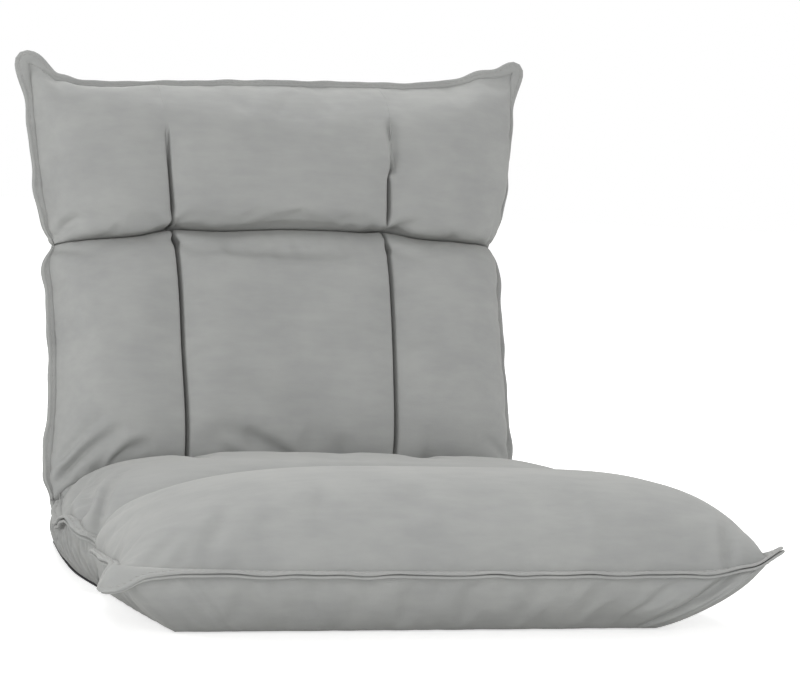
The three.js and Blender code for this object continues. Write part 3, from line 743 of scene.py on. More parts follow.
def softened(made):
    # cloth under pressure on every cushion at once, its seams and its underside held; a point then
    # moves by cap tanh(distance / cap), times how loose it is
    sims = []
    for name, m in made.items():
        piece = addMesh("sim_" + name, m["points"] * mm, m["faces"])
        group = piece.vertex_groups.new(name="held")
        group.add(np.flatnonzero(m["held"]).tolist(), 1.0, "REPLACE")
        cloth = piece.modifiers.new("cloth", "CLOTH")
        s = cloth.settings
        s.quality, s.mass, s.air_damping = clothSet["steps"], clothSet["mass"], clothSet["air"]
        s.tension_stiffness = s.compression_stiffness = clothSet["tension"]
        s.shear_stiffness, s.bending_stiffness = clothSet["shear"], clothSet["bending"]
        s.tension_damping = s.compression_damping = clothSet["damping"]
        s.use_pressure, s.uniform_pressure_force = True, clothSet["pressure"]
        s.shrink_min = s.shrink_max = clothSet["shrink"]
        s.vertex_group_mass = "held"
        s.pin_stiffness = 1
        s.effector_weights.gravity = 0
        cloth.collision_settings.use_collision = False
        cloth.point_cache.frame_start, cloth.point_cache.frame_end = 1, clothSet["frames"]
        sims.append((name, piece))
    for f in range(1, clothSet["frames"] + 1):
        scene.frame_set(f)
    graph = bpy.context.evaluated_depsgraph_get()
    for name, piece in sims:
        m = made[name]
        off = meshPoints(piece.evaluated_get(graph).data) / mm - m["points"]
        size = np.linalg.norm(off, axis=1, keepdims=True)
        cap = clothSet["cap"][name]
        off *= m["loose"][:, None] * cap * np.tanh(size / cap) / np.maximum(size, 1e-9)
        m["points"] = m["points"] + off
        print("cloth", name, "moved up to", round(float(size.max()), 1), "mm")
        bpy.data.meshes.remove(piece.data)
    scene.frame_set(1)


def closeChannels(v, m):
    # the shoulders close over a deep channel; where it has faded out, its narrow columns lie
    # straight between the two beside them; its walls stay on their own side of the middle line
    if "channels" not in v:
        return
    rows, columns = m["top"]
    top = m["points"][: rows * columns].reshape(rows, columns, 3)
    middle, near, _ = halfColumns(v)
    i = np.arange(columns)
    for side, sign in (("left", -1), ("right", 1)):
        path = through(v["channels"][side], top[..., 1]) * sign
        column = (columns - 1) // 2 + sign * (len(middle) + (len(near) - 1) // 2)
        apart = np.sign(i - column)
        distance = (top[..., 0] - path) * apart
        depth = through(v["channels"][side + "Depth"], top[..., 1])
        pulled = (through(shoulders, distance) - distance) * rise(depth, *channelSet["closed"])
        inside = (distance > 0) & (distance < shoulders[-1][0]) & (apart != 0)
        top[..., 0] += np.where(inside, pulled * apart, 0)
        distance = (top[..., 0] - path) * apart
        here = slice(column - channelSet["bridge"], column + channelSet["bridge"] + 1)
        span = top[:, here]
        part = (span[..., 0] - span[:, :1, 0]) / (span[:, -1:, 0] - span[:, :1, 0])
        straight = span[:, :1, 2] + (span[:, -1:, 2] - span[:, :1, 2]) * part
        span[..., 2] += (straight - span[..., 2]) * (1 - rise(depth[:, here], *channelSet["faded"]))
        close = (np.abs(i - column) < len(channelShape)) & (apart != 0)
        first, others = channelSet["walls"]
        least = np.where(np.abs(i - column) > 1, others, first)
        top[..., 0] += np.where(close & (distance < least), (least - distance) * apart, 0)


creaseSet = {
    "lip": 0.45,  # the ridge beside a fold, as a share of its depth
    "lipAt": 1.8,  # its distance in widths
    "narrow": 0.55,  # width at the fold's start, in its own widths
    "widen": 0.75,  # and what it gains to the far end
    "fade": 0.7,
    "bow": 0.9,  # how far the line is drawn towards its middle point
    "starts": (-0.3, 0.12),  # share of the line over which the fold comes in
}


def addCreases(v, m):
    # a fold pressed into the top: -depth (exp(-d^2) - lip exp(-(d - lipAt)^2)) along the surface's
    # normal, d the distance from the fold's line in widths
    rows, columns = m["top"]
    top = m["points"][: rows * columns].reshape(rows, columns, 3)
    normal = unit(np.cross(np.gradient(top, axis=1), np.gradient(top, axis=0)))
    flat = top[..., :2].reshape(-1, 2)
    move = np.zeros(len(flat))
    for knots, depth, width, *middle in v["creases"]:
        a, b, c = np.array(knots, float)
        bow = creaseSet["bow"]
        line = evenly(bezier([a, a + (b - a) * bow, c + (b - c) * bow, c], 40), 30)
        gap = flat[:, None] - line[None]
        distance = np.linalg.norm(gap, axis=2)
        nearest = distance.argmin(axis=1)
        s = nearest / (len(line) - 1)
        ahead = unit(np.gradient(line, axis=0))[nearest]
        to = gap[np.arange(len(flat)), nearest]
        side = np.sign(ahead[:, 0] * to[:, 1] - ahead[:, 1] * to[:, 0])
        d = distance.min(axis=1) / (width * (creaseSet["narrow"] + creaseSet["widen"] * s))
        if middle:
            fade = np.sin(np.pi * np.clip(s, 0.02, 0.98)) ** creaseSet["fade"]
        else:
            fade = (1 - s) ** creaseSet["fade"] * rise(s, *creaseSet["starts"])
        lip = creaseSet["lip"] * np.exp(-((d * side - creaseSet["lipAt"]) ** 2))
        move -= depth * fade * (np.exp(-(d**2)) - lip)
    top += normal * move.reshape(rows, columns, 1)


cushionSets = {"leg": legCushion, "seat": seatCushion, "back": backCushion, "head": headCushion}
made = {name: makeCushion(v) for name, v in cushionSets.items()}
softened(made)
for name, v in cushionSets.items():
    closeChannels(v, made[name])
    addCreases(v, made[name])
    made[name]["points"] = clampToFolds(made[name]["points"], v)
    made[name]["points"][:, 2] = np.maximum(made[name]["points"][:, 2], v["rim"])
print("cushions shaped")


def bend(piece):
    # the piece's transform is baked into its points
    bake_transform(piece)


pads = {}
for name, fill in {"leg": 0.75, "seat": 0.7, "back": 0.7, "head": 0.7}.items():
    piece = addMesh(name + "_pad", toRow(made[name]["points"], name), made[name]["faces"])
    smoothing = piece.modifiers.new("smoothing", "SUBSURF")
    smoothing.levels = smoothing.render_levels = 1
    gather = piece.data.attributes.new("gather", "FLOAT", "POINT")
    gather.data.foreach_set("value", made[name]["gathered"].astype(np.float32))
    pads[name] = piece
    bend(piece)
    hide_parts(name + "_cushion", name + "_foam")


# Sewn flanges: two lips of folded fabric that stand out along the seams, with an ear at each corner

flangeSet = {
    "lip": 2.7,  # thickness of one lip
    "gap": 0.5,  # between the lips
    "step": 3.6,
    "inset": 2.5,  # how far the root reaches into the cushion
    "stitchFromEdge": 4.6,
    "pressed": (0.9, 0.62),  # half width of the stitch's line, and the lip's thickness in it
    "edge": (1.6, 0.5),  # from the edge: where the lip is fullest, and where it is round
    "widthWaves": [(0.07, 61, 0.2), (0.05, 37, 0.5)],  # (size, length in mm, shift)
    "turnWaves": [(5, 83, 0.1), (3, 47, 0.6)],
}

# Width and turn by place along the seam, where each corner counts 1 from the one before.
# Turn is degrees up from the seam's plane. An ear adds its width and turn around its corner.
legFlange = {
    "width": [
        (0, 0.6), (0.1, 3.5), (0.5, 6), (1, 9), (1.5, 7.5), (1.9, 8), (2, 9), (2.4, 7), (2.9, 4),
        (3, 0.6),
    ],
    "turn": [
        (0, -10), (0.4, -10), (0.8, -10), (1.2, -6), (1.5, -4), (1.8, -2), (2.2, -4), (3, -10),
    ],
    "ears": [(14, 26, -52), (5, 20, 34)],
    "splay": 0.5,
}
seatFlange = {
    "width": [(0, 0.6), (0.07, 7), (0.25, 9.5), (0.6, 9.5), (0.88, 7), (1, 0.6)],
    "turn": [(0, -20), (0.2, -8), (0.5, -16), (0.8, -24), (1, -20)],
    "ears": [],
    "splay": 3,
}
backFlange = {
    "width": [(0, 0.6), (0.06, 5), (0.4, 7), (0.8, 7), (0.95, 5.5), (1, 0.6)],
    "turn": [(0, 14), (0.2, 4), (0.6, 0), (1, 6)],
    "ears": [],
    "splay": 2,
}
headFlange = {
    "width": [
        (0, 0.6), (0.1, 6), (0.5, 7), (1, 8), (1.2, 6), (1.5, 5.5), (1.8, 6), (2, 8), (2.5, 7),
        (2.9, 6), (3, 0.6),
    ],
    "turn": [(0, 6), (0.5, 0), (1, -4), (1.5, -6), (2, -4), (2.5, 0), (3, 6)],
    "ears": [(5, 22, -6), (4, 20, -10)],
    "splay": 2,
}
flangeSets = {"leg": legFlange, "seat": seatFlange, "back": backFlange, "head": headFlange}


def seamPaths(name):
    # the border of a cushion's top where it has a flange, from crease to crease, and the places
    # of its corners
    v, m = cushionSets[name], made[name]
    rows, columns = m["top"]
    top = m["points"][: rows * columns].reshape(rows, columns, 3)
    left, right = top[:, 0], top[:, -1]
    if "freeEnd" not in v:
        return [(left, []), (right, [])]
    if v["freeEnd"] == "front":
        border = np.concatenate([left[::-1], top[0, 1:-1], right])
    else:
        border = np.concatenate([left, top[-1, 1:-1], right[::-1]])
    return [(border, [rows - 1, rows + columns - 2])]


def flangeFrame(path, corners, v, centre):
    # points, directions along, outward and upward, and the flange's width there
    length = lengthAlong(path)
    corners = length[np.array(corners, int)]
    line = smoothed(evenly(path, int(length[-1] / flangeSet["step"])), 3)
    at = np.linspace(0, length[-1], len(line))
    place = np.interp(at, np.r_[0, corners, length[-1]], np.arange(len(corners) + 2))
    ahead = np.gradient(line, axis=0)
    ahead[:, 2] = 0
    ahead = unit(smoothed(unit(ahead), 6))
    out = np.stack([ahead[:, 1], -ahead[:, 0], 0 * at], axis=1)
    out *= np.sign(((line[:, :2] - centre) * out[:, :2]).sum())
    width = through(v["width"], place) * (1 + ripple(at, flangeSet["widthWaves"]))
    turn = through(v["turn"], place) + ripple(at, flangeSet["turnWaves"])
    for (wide, around, extra), corner in zip(v["ears"], corners):
        width = width + wide * hump(at, corner, around)
        turn = turn + extra * hump(at, corner, around * 1.3)
    turn = np.radians(turn)[:, None]
    up = np.array([0, 0, 1.0])
    reach = out * np.cos(turn) + up * np.sin(turn)
    lift = up * np.cos(turn) - out * np.sin(turn)
    return line, ahead, reach, lift, width


def sewnAt(width):
    # distance of the stitches from the seam: a fixed one from the edge, on a narrow lip a share
    return np.maximum(width - flangeSet["stitchFromEdge"], width * 0.4)


def lipHeight(d, side, v):
    # middle height of a lip at distance d from the seam: half the gap at the root, splaying
    # outwards by d tan(splay)
    middle = (flangeSet["gap"] + flangeSet["lip"]) / 2 * rise(d, -3, 2)
    return side * (middle + math.tan(math.radians(v["splay"])) * np.maximum(d, 0))


def flangeLips(line, reach, lift, width, v):
    # each lip: a flat tube along the seam, pressed in along its stitch line, round at its outer
    # edge and shut at its ends; its section is (distance from the seam, half thickness)
    thick = flangeSet["lip"] / 2
    sewn = sewnAt(width)
    root = np.full_like(width, -flangeSet["inset"])
    press, thin = flangeSet["pressed"]
    fullest, rounded = flangeSet["edge"]
    outer = [root, 0.3 * sewn, sewn - press, sewn, sewn + press]
    outer += [width - fullest, width - rounded, width]
    inner = [outer[7], outer[6], outer[4], outer[0]]
    d = np.stack(outer + inner, axis=1)
    high = np.array([1, 1, 0.8, thin, 0.8, 1.12, 0.85, 0.3, -0.3, -0.8, -0.9, -1])
    points, faces = [], []
    for side in (1, -1):
        h = lipHeight(d, side, v) + side * high[None, :] * thick
        p = line[:, None] + reach[:, None] * d[..., None] + lift[:, None] * h[..., None]
        n, k = p.shape[:2]
        first = sum(map(len, points))
        faces += [*gridFaces(n, k, first, wrap=True)]
        faces += [[first + i for i in range(k)], [first + (n - 1) * k + i for i in range(k)]]
        points.append(p.reshape(-1, 3))
    return np.concatenate(points), faces


# A stitch is a short capsule of thread lying in the pressed line

stitchSet = {
    "pitch": 6.4,
    "long": 4.4,
    "thick": 0.95,
    "proud": 0.15,
    "sides": 6,
    "profile": [(-1, 0.3), (-0.82, 0.85), (0, 1), (0.82, 0.85), (1, 0.3)],  # place and radius
}


def capsule(v):
    # rings of points along x: its place, and the cosine and sine of the angle times the radius
    n, rings = v["sides"], len(v["profile"])
    x, r = np.array(v["profile"]).T * [[v["long"] / 2], [v["thick"] / 2]]
    a = np.arange(n) * 2 * np.pi / n
    y, z = np.outer(r, np.cos(a)).ravel(), np.outer(r, np.sin(a)).ravel()
    ends = np.arange(n) + np.array([[0], [n * (rings - 1)]])
    return np.stack([np.repeat(x, n), y, z], axis=1), gridFaces(rings, n, wrap=True), ends


def stitchesAlong(line, ahead, side, above):
    # one capsule every pitch along a line, turned to lie along it
    shape = capsule(stitchSet)[0]
    length = lengthAlong(line)
    at = np.arange(stitchSet["pitch"], length[-1] - stitchSet["pitch"], stitchSet["pitch"])

    def pick(values):
        # the line's values at the stitches, in between by straight lines
        return np.stack([np.interp(at, length, values[:, k]) for k in range(3)], axis=1)

    p, a, s, n = pick(line), unit(pick(ahead)), unit(pick(side)), unit(pick(above))
    return p[:, None] + shape @ np.stack([a, s, n], axis=1)


def addStitches(name, batches, section):
    # all the capsules of one piece, merged
    points = np.concatenate(batches)
    count, each = points.shape[:2]
    _, sides, ends = capsule(stitchSet)
    first = np.arange(count)[:, None, None] * each
    faces = [*(sides + first).reshape(-1, 4), *(ends + first).reshape(-1, 6)]
    piece = addMesh(name, toRow(points.reshape(-1, 3), section), faces)
    faceOutwards(piece)
    bend(piece)
    return piece, count


flanges, threads, stitches = {}, {}, 0
for name, v in flangeSets.items():
    box = made[name]["points"]
    centre = (box[:, :2].min(0) + box[:, :2].max(0)) / 2
    points, faces, sewn = [], [], []
    for path, corners in seamPaths(name):
        line, ahead, reach, lift, width = flangeFrame(path, corners, v, centre)
        p, f = flangeLips(line, reach, lift, width, v)
        before = sum(map(len, points))
        faces += [[i + before for i in q] for q in f]
        points.append(p)
        d = sewnAt(width)
        for side in (1, -1):
            onTop = flangeSet["lip"] / 2 * flangeSet["pressed"][1] + stitchSet["proud"]
            h = lipHeight(d, side, v) + side * onTop
            place = line + reach * d[:, None] + lift * h[:, None]
            sewn.append(stitchesAlong(place, ahead, reach, lift))
    piece = addMesh(name + "_flange", toRow(np.concatenate(points), name), faces)
    faceOutwards(piece)
    bend(piece)
    flanges[name] = piece
    threads[name], count = addStitches(name + "_stitches", sewn, name)
    stitches += count
print("flanges and stitches made:", stitches, "stitches")


# Underside and rear fabric: a thin hemmed panel of non-woven under each section

panelSet = {
    "thick": 1.2,
    "hem": (10.5, 13.5),  # where the turned-in edge ends, with its own round
    "hemThick": 0.5,
    "step": 6.0,
    "across": [(0.35, 67, 0.1), (0.25, 41, 0.4)],  # the wrinkles' two waves
    "along": [(0.6, 90, 0.2), (0.4, 53, 0.7)],
    "slant": 0.35,
    "wrinkle": 2.4,  # their height where the fabric sags
    "uneven": 0.25,  # and where it lies flat
    "smooth": (4, 30),  # mm from the edge: no wrinkles up to the first, all from the second
    "width": 480,  # mm, for the number of columns
    "lowest": 0.15,  # mm above the floor
    "below": 0.3,  # mm at least between the fabric and the filling
    "stitchDown": 0.2,
    # inset: from the edge of the cover; bag: how far the middle sags
    "leg": {"inset": 7, "bag": 0.0, "replaces": "leg_base_panel"},
    "seat": {"inset": -2, "bag": 0.0, "replaces": "seat_base_panel"},
    "back": {"inset": 7, "bag": 5.0, "replaces": "back_rear_panel"},
    "head": {"inset": 7, "bag": 4.0, "replaces": "head_rear_panel"},
}


def shell(outer, inner):
    # two grids, the outer one facing down, joined round their border
    rows, columns = outer.shape[:2]
    n = rows * columns
    index = loopOf(np.arange(n).reshape(rows, columns))
    rim = np.stack([index, np.roll(index, -1), np.roll(index, -1) + n, index + n], axis=1)
    faces = np.concatenate([gridFaces(rows, columns)[:, ::-1], gridFaces(rows, columns, n), rim])
    return np.concatenate([outer.reshape(-1, 3), inner.reshape(-1, 3)]), faces


def makePanel(name, v):
    # outer face z = -bag sin(pi s)^0.7 (1 - x^4) plus small wrinkles; inner face one thickness
    # above; the border is a hem thicker than the rest
    outline = baseOutline[name]
    low, high = outline["y"]
    low += v["inset"] * isFree(cushionSets[name], 0)
    high -= v["inset"] * isFree(cushionSets[name], 1)
    rows, columns = (int(size / panelSet["step"]) for size in (high - low, panelSet["width"]))
    s, x = np.meshgrid(np.linspace(0, 1, rows), np.linspace(-1, 1, columns), indexing="ij")
    yy = low + (high - low) * s
    half = halfWidth(outline, x, yy) - v["inset"]
    edge = np.minimum(np.minimum(s, 1 - s) * (high - low), (1 - np.abs(x)) * half)
    slanted = x * half + yy * panelSet["slant"]
    wrinkle = ripple(slanted, panelSet["across"]) * ripple(yy, panelSet["along"])
    loose = rise(edge, *panelSet["smooth"])
    hem = panelSet["hemThick"] * (1 - rise(edge, *panelSet["hem"]))
    if v["bag"] > 0:
        sag = v["bag"] * np.sin(np.pi * s) ** 0.7 * (1 - np.abs(x) ** 4)
        flatZ = wrinkle * panelSet["wrinkle"] * loose - sag
        outerZ, innerZ = flatZ - hem, flatZ + panelSet["thick"]
    else:
        outerZ = panelSet["lowest"] + panelSet["uneven"] * loose * (1 + wrinkle)
        innerZ = np.minimum(outerZ + panelSet["thick"] + hem, baseHeight - panelSet["below"])
    outer = np.stack([x * half, yy, outerZ], axis=-1)
    points, faces = shell(outer, np.stack([x * half, yy, innerZ], axis=-1))
    piece = addMesh(name + "_underside", toRow(points, name), faces)
    addUv(piece, np.tile(outer[..., :2].reshape(-1, 2) * mm, (2, 1)))
    smoothing = piece.modifiers.new("smoothing", "SUBSURF")
    smoothing.levels = smoothing.render_levels = 1
    bend(piece)
    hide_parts(v["replaces"])
    if v["bag"] > 0:
        # one row of stitches 6 mm inside each sewn edge
        lines = [outer[2:-2, 1], outer[2:-2, -2]] + ([outer[-2, 2:-2]] if name == "head" else [])
        batches = []
        for line in lines:
            up = np.tile([0, 0, 1.0], (len(line), 1))
            ahead = unit(np.gradient(line, axis=0))
            place = line - up * panelSet["stitchDown"]
            batches.append(stitchesAlong(place, ahead, unit(np.cross(up, ahead)), up))
        threads[name + "Rear"], _ = addStitches(name + "_rear_stitches", batches, name)
    return piece


panels = {name: makePanel(name, panelSet[name]) for name in ("leg", "seat", "back", "head")}

stripSet = {
    "half": 228.0,
    "radius": 23.7,
    "thick": 1.2,
    "wave": 0.8,
    "waves": (23, 4),  # radians of them from the middle to a side, and for each radian round
    "grid": (15, 81),
}


def makeFoldStrip(v):
    # the fabric round the underside of the back fold: an arc about the hinge from straight down to
    # square to the back, (x, r cos a, r sin a)
    rows, columns = v["grid"]
    angles = np.radians(np.linspace(-90, -90 + backTurn, rows))
    a, x = np.meshgrid(angles, np.linspace(-1, 1, columns), indexing="ij")
    across, around = v["waves"]
    radius = v["radius"] - v["wave"] * (1 + np.sin(x * across) * np.sin(a * around)) / 2
    outer, inner = (
        np.stack([x * v["half"], r * np.cos(a), hingeHeight + r * np.sin(a)], axis=-1)
        for r in (radius, radius - v["thick"])
    )
    points, faces = shell(outer, inner)
    piece = addMesh("back_fold_fabric", toRow(points, "seat"), faces)
    faceOutwards(piece)
    cloth = np.stack([x * v["half"], a * v["radius"]], axis=-1).reshape(-1, 2) * mm
    addUv(piece, np.tile(cloth, (2, 1)))
    bend(piece)
    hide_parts("back_fold_strip")
    return piece


panels["fold"] = makeFoldStrip(stripSet)
print("underside fabric made")


# Materials


def linear(code):
    # sRGB hex to linear: c / 12.92 up to 0.04045, else ((c + 0.055) / 1.055)^2.4
    c = np.array([int(code[i : i + 2], 16) for i in (1, 3, 5)]) / 255
    return tuple(np.where(c <= 0.04045, c / 12.92, ((c + 0.055) / 1.055) ** 2.4)) + (1.0,)


def addNode(tree, kind, sockets=None, settings=None):
    # sockets: a number, a colour, or the output that it comes from; settings: the node's own
    node = tree.nodes.new("ShaderNode" + kind)
    for key, value in (settings or {}).items():
        setattr(node, key, value)
    for key, value in (sockets or {}).items():
        if isinstance(value, bpy.types.NodeSocket):
            tree.links.new(value, node.inputs[key])
        else:
            node.inputs[key].default_value = linear(value) if isinstance(value, str) else value
    return node


def newMaterial(name):
    # a material and its node tree, still empty
    material = bpy.data.materials.new(name)
    material.use_nodes = True
    tree = material.node_tree
    tree.nodes.clear()
    return material, tree


def texture(kind, size, output="Fac", stretch=1, **sockets):
    # size in metres from one grain, cell or stripe to the next; stretch draws it out sideways
    return {"kind": kind, "size": size, "output": output, "stretch": stretch, "sockets": sockets}


stripes = math.pi / 10  # a wave texture's scale for one stripe per metre


def makeFinish(v):
    # The textures lie on the piece's own place, or on its map of the cloth. "ranges" takes one
    # from (low, high) to (least, most) by the named easing, "combined" adds or multiplies two,
    # "tones" is two colours mixed by one, and "roughBy" is the one that gives the roughness. The
    # bumps lie one over the other, each as (texture, strength, depth in metres).
    material, tree = newMaterial(v["name"])
    if "map" in v:
        place = addNode(tree, "UVMap", settings={"uv_map": v["map"]}).outputs[0]
    else:
        place = addNode(tree, "TexCoord").outputs["Object"]
    made = {}
    for key, t in v["textures"].items():
        spot = place
        if t["stretch"] > 1:
            drawn = {"Scale": (1 / t["stretch"], 1, 1), "Vector": place}
            spot = addNode(tree, "Mapping", drawn).outputs[0]
        cycles = stripes if t["kind"] == "TexWave" else 1
        sockets = {k.replace("_", " "): value for k, value in t["sockets"].items()}
        sockets.update({"Scale": cycles / t["size"], "Vector": spot})
        node = addNode(tree, t["kind"], sockets, v.get("settings", {}).get(key))
        made[key] = node.outputs[t["output"]]
    if "attribute" in v:
        seen = addNode(tree, "Attribute", settings={"attribute_name": v["attribute"]})
        made["attribute"] = seen.outputs["Fac"]
    for key, (source, low, high, least, most, kind) in v.get("ranges", {}).items():
        ends = {"From Min": low, "From Max": high, "To Min": least, "To Max": most}
        ends["Value"] = made[source]
        eased = addNode(tree, "MapRange", ends, {"interpolation_type": kind})
        made[key] = eased.outputs[0]
    for key, (operation, a, b) in v.get("combined", {}).items():
        both = addNode(tree, "Math", {0: made[a], 1: made[b]}, {"operation": operation})
        made[key] = both.outputs[0]
    surface = dict(v["surface"])
    if "tones" in v:
        low, high, mixedBy = v["tones"]
        tones = {"A": low, "B": high, "Factor": made[mixedBy]}
        mix = addNode(tree, "Mix", tones, {"data_type": "RGBA"})
        surface["Base Color"] = mix.outputs["Result"]
    if "roughBy" in v:
        surface["Roughness"] = made[v["roughBy"]]
    for key, strength, depth in v["bumps"]:
        below = {"Normal": surface["Normal"]} if "Normal" in surface else {}
        bump = {"Strength": strength, "Distance": depth, "Height": made[key], **below}
        surface["Normal"] = addNode(tree, "Bump", bump).outputs["Normal"]
    shader = addNode(tree, "BsdfPrincipled", surface)
    addNode(tree, "OutputMaterial", {"Surface": shader.outputs[0]})
    return material


# Microsuede velour: very fine brushed pile. The eye sees a matt, even grey with soft cloudy
# patches and faint brush marks where the pile lies another way, and a pale rim on curved edges.
# The tufts are 0.2 mm; they are drawn coarser so that they show. The gussets are gathered
# where their piece says so.
velourSet = {
    "name": "microsuede velour, light grey",
    "textures": {
        "cloud": texture("TexNoise", 0.060, Detail=3, Roughness=0.55),
        "stroke": texture("TexNoise", 0.010, stretch=4, Detail=3, Roughness=0.6),
        "pile": texture("TexNoise", 0.0015, Detail=2, Roughness=0.7),
        "wave": texture("TexWave", 0.014, Distortion=0.8, Detail=1, Detail_Scale=0.3),
    },
    "settings": {"wave": {"bands_direction": "Y"}},
    "attribute": "gather",
    "ranges": {
        "patches": ("cloud", 0.35, 0.65, 0, 0.55, "LINEAR"),
        "strokes": ("stroke", 0.35, 0.7, 0, 0.45, "LINEAR"),
    },
    "combined": {
        "shade": ("ADD", "strokes", "patches"),
        "gathers": ("MULTIPLY", "wave", "attribute"),
    },
    "tones": ("#9b9c9b", "#a5a6a4", "shade"),  # where the pile lies flat, and where it stands
    "bumps": [("pile", 0.3, 0.0004), ("stroke", 0.22, 0.001), ("gathers", 1, 0.0035)],
    "surface": {
        "Roughness": 0.95,
        "IOR": 1.45,
        "Specular IOR Level": 0.15,
        "Sheen Weight": 0.22,
        "Sheen Roughness": 0.5,
        "Sheen Tint": "#dcdbd6",
    },
}

# Spun polyester sewing thread: two plies twisted, matt, a shade darker than the velour.
threadSet = {
    "name": "spun polyester thread, grey",
    "textures": {"ply": texture("TexNoise", 0.0008, Detail=1)},
    "tones": ("#949391", "#adacaa", "ply"),
    "bumps": [("ply", 0.5, 0.0002)],
    "surface": {"Roughness": 0.7},
}

# Spunbond polypropylene, pressed with a field of dots: black, slightly waxy, with a dull
# highlight broken by the dots. Real dots are 1.5 mm apart; drawn at 3 mm so that they show.
nonWovenSet = {
    "name": "black spunbond polypropylene",
    "map": "cloth",
    "textures": {
        "dots": texture("TexVoronoi", 0.003, "Distance", Randomness=0.0),
        "fibres": texture("TexNoise", 0.004, Detail=5, Roughness=0.75),
    },
    "settings": {"dots": {"voronoi_dimensions": "2D"}, "fibres": {"noise_dimensions": "2D"}},
    "ranges": {"pressed": ("dots", 0.2, 0.4, 0, 1, "SMOOTHSTEP")},
    "tones": ("#161617", "#28282a", "fibres"),
    "bumps": [("pressed", 0.5, 0.0003), ("fibres", 0.25, 0.0004)],
    "surface": {"Roughness": 0.72, "IOR": 1.49},
}

# Woven elastic webbing: polyester over rubber cords, a rib every 2 mm across the strap.
webbingSet = {
    "name": "woven elastic webbing",
    "textures": {"rib": texture("TexWave", 0.002, Distortion=0.4, Detail=1)},
    "settings": {"rib": {"bands_direction": "X"}},
    # the darker tone lies in the grooves between the ribs, as painted shade there
    "tones": ("#232325", "#38383b", "rib"),
    "bumps": [("rib", 0.6, 0.0005)],
    "surface": {"Roughness": 0.85},
}

# Steel tube with a baked polyester powder coat: dark grey, satin, a fine orange peel of 1.5 mm.
tubeSet = {
    "name": "powder coated steel tube",
    "textures": {
        "peel": texture("TexNoise", 0.0015, Detail=2),
        "wear": texture("TexNoise", 0.03, Detail=4),
    },
    "ranges": {"rough": ("wear", 0, 1, 0.38, 0.52, "LINEAR")},
    "roughBy": "rough",
    "bumps": [("peel", 0.25, 0.0002)],
    "surface": {"Base Color": "#2f3133", "IOR": 1.5},
}

# Stamped steel, zinc plated: silver grey with a faint cloudy spangle and soft punching marks.
zincSet = {
    "name": "zinc plated stamped steel",
    "textures": {
        "spangle": texture("TexVoronoi", 0.006, "Color"),
        "grain": texture("TexNoise", 0.0012, Detail=3),
    },
    "ranges": {"rough": ("grain", 0, 1, 0.28, 0.45, "LINEAR")},
    "tones": ("#a2a5a8", "#bfc0bd", "spangle"),
    "roughBy": "rough",
    "bumps": [("grain", 0.15, 0.0001)],
    "surface": {"Metallic": 1.0},
}

# Polyether foam: pale cream, fully matt, open cells of about 1 mm.
foamSet = {
    "name": "polyether foam",
    "textures": {"cells": texture("TexVoronoi", 0.0012, "Distance")},
    # the darker cream falls in the hollow of each cell, as painted shade in the pores
    "tones": ("#cfc5a4", "#ebe2c8", "cells"),
    "bumps": [("cells", 0.6, 0.0005)],
    "surface": {"Roughness": 1.0},
}

finishes = {
    "velour": makeFinish(velourSet),
    "zinc_steel": makeFinish(zincSet),
    "painted_tube": makeFinish(tubeSet),
    "black_felt": makeFinish(nonWovenSet),
    "webbing": makeFinish(webbingSet),
    "foam": makeFinish(foamSet),
}
thread = makeFinish(threadSet)
for piece in [*pads.values(), *flanges.values()]:
    piece.data.materials.append(finishes["velour"])
for piece in threads.values():
    piece.data.materials.append(thread)
for piece in panels.values():
    piece.data.materials.append(finishes["black_felt"])
slotOf = {s["node"]: s["material_slot"] for s in frame["record"]["subparts"]}
for node, piece in frame["nodes"].items():
    piece.data.materials.clear()
    piece.data.materials.append(finishes[slotOf[node]])
print("materials made")


# Stage and light

stageSet = {
    "floor": "#e6e6e5",
    "size": 14.0,
    "glow": (0.62, 1.0),  # of the paper: less near the chair, where its shadow lies
    "from": (0.7, 2.6),  # metres from the middle
}


def straightRays(tree):
    # 1 for a ray from the camera, or one seen in a mirror or through glass
    seen = addNode(tree, "LightPath").outputs
    larger = {"operation": "MAXIMUM"}
    both = addNode(tree, "Math", {0: seen["Is Camera Ray"], 1: seen["Is Glossy Ray"]}, larger)
    straight = addNode(tree, "Math", {0: both.outputs[0], 1: seen["Is Transmission Ray"]}, larger)
    return straight.outputs[0]


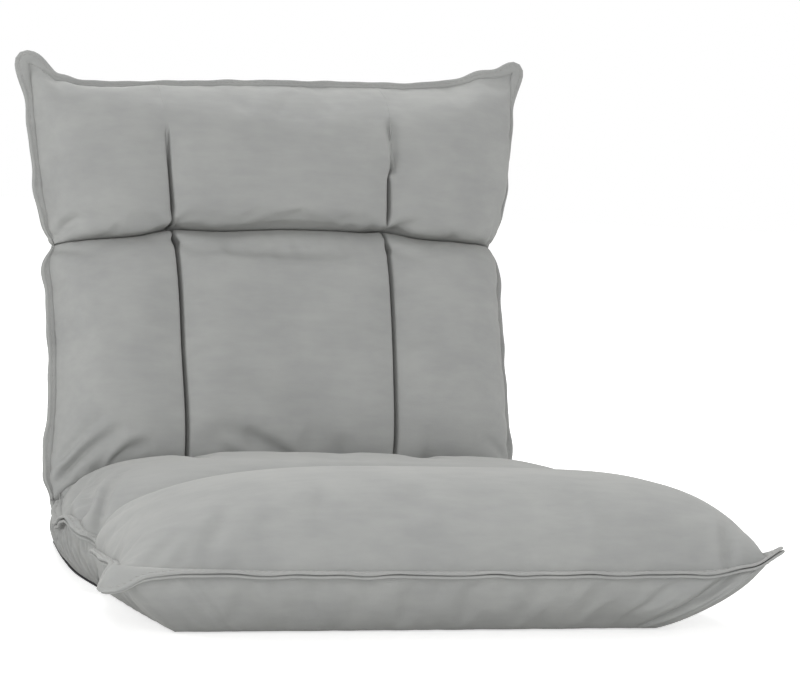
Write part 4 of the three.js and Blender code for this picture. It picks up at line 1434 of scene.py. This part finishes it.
floorPoints = np.array([(-1, -1, 0), (1, -1, 0), (1, 1, 0), (-1, 1, 0)], float) * stageSet["size"]
floor = addMesh("floor", floorPoints, [[0, 1, 2, 3]], smooth=False)
floorPaper, tree = newMaterial("white studio paper")
paper = addNode(tree, "BsdfDiffuse", {"Color": stageSet["floor"]})
spot = addNode(tree, "TexCoord").outputs["Object"]
far = addNode(tree, "VectorMath", {0: spot}, {"operation": "LENGTH"}).outputs["Value"]
ends = dict(zip(("From Min", "From Max", "To Min", "To Max"), stageSet["from"] + stageSet["glow"]))
white = addNode(tree, "MapRange", {**ends, "Value": far}, {"interpolation_type": "SMOOTHSTEP"})
seenWhite = {0: straightRays(tree), 1: white.outputs[0]}
strength = addNode(tree, "Math", seenWhite, {"operation": "MULTIPLY"})
glow = addNode(tree, "Emission", {"Color": (1, 1, 1, 1), "Strength": strength.outputs[0]})
both = addNode(tree, "AddShader", {0: paper.outputs[0], 1: glow.outputs[0]})
addNode(tree, "OutputMaterial", {"Surface": both.outputs[0]})
floor.data.materials.append(floorPaper)

lightSet = {
    "front": {"place": (-1.0, -3.6, 1.0), "size": 3.0, "watts": 94},
    "left": {"place": (-3.2, -0.3, 1.0), "size": 1.6, "watts": 33},
    "above": {"place": (0, 1.4, 3.0), "size": 2.4, "watts": 72},
    "right": {"place": (3.0, -0.5, 1.4), "size": 2.0, "watts": 30},
}
lampAim = (0, 0, 0.2)
worldLight = 0.2


def addLamp(name, v):
    # a round lamp that faces lampAim
    data = bpy.data.lights.new(name, "AREA")
    data.shape, data.size, data.energy = "DISK", v["size"], v["watts"]
    lamp = bpy.data.objects.new(name, data)
    scene.collection.objects.link(lamp)
    away = unit(np.array(v["place"], float) - lampAim)
    side = unit(np.cross([0, 0, 1], away))
    placeAt(lamp, side, np.cross(away, side), away, v["place"])


for name, v in lightSet.items():
    addLamp(name, v)

world = bpy.data.worlds.new("studio")
scene.world = world
world.use_nodes = True
tree = world.node_tree
tree.nodes.clear()
strength = addNode(tree, "MapRange", {"To Min": worldLight, "Value": straightRays(tree)})
sky = addNode(tree, "Background", {"Color": (1, 1, 1, 1), "Strength": strength.outputs[0]})
addNode(tree, "OutputWorld", {"Surface": sky.outputs[0]})

scene.view_settings.view_transform = "Standard"
print("stage and light set")
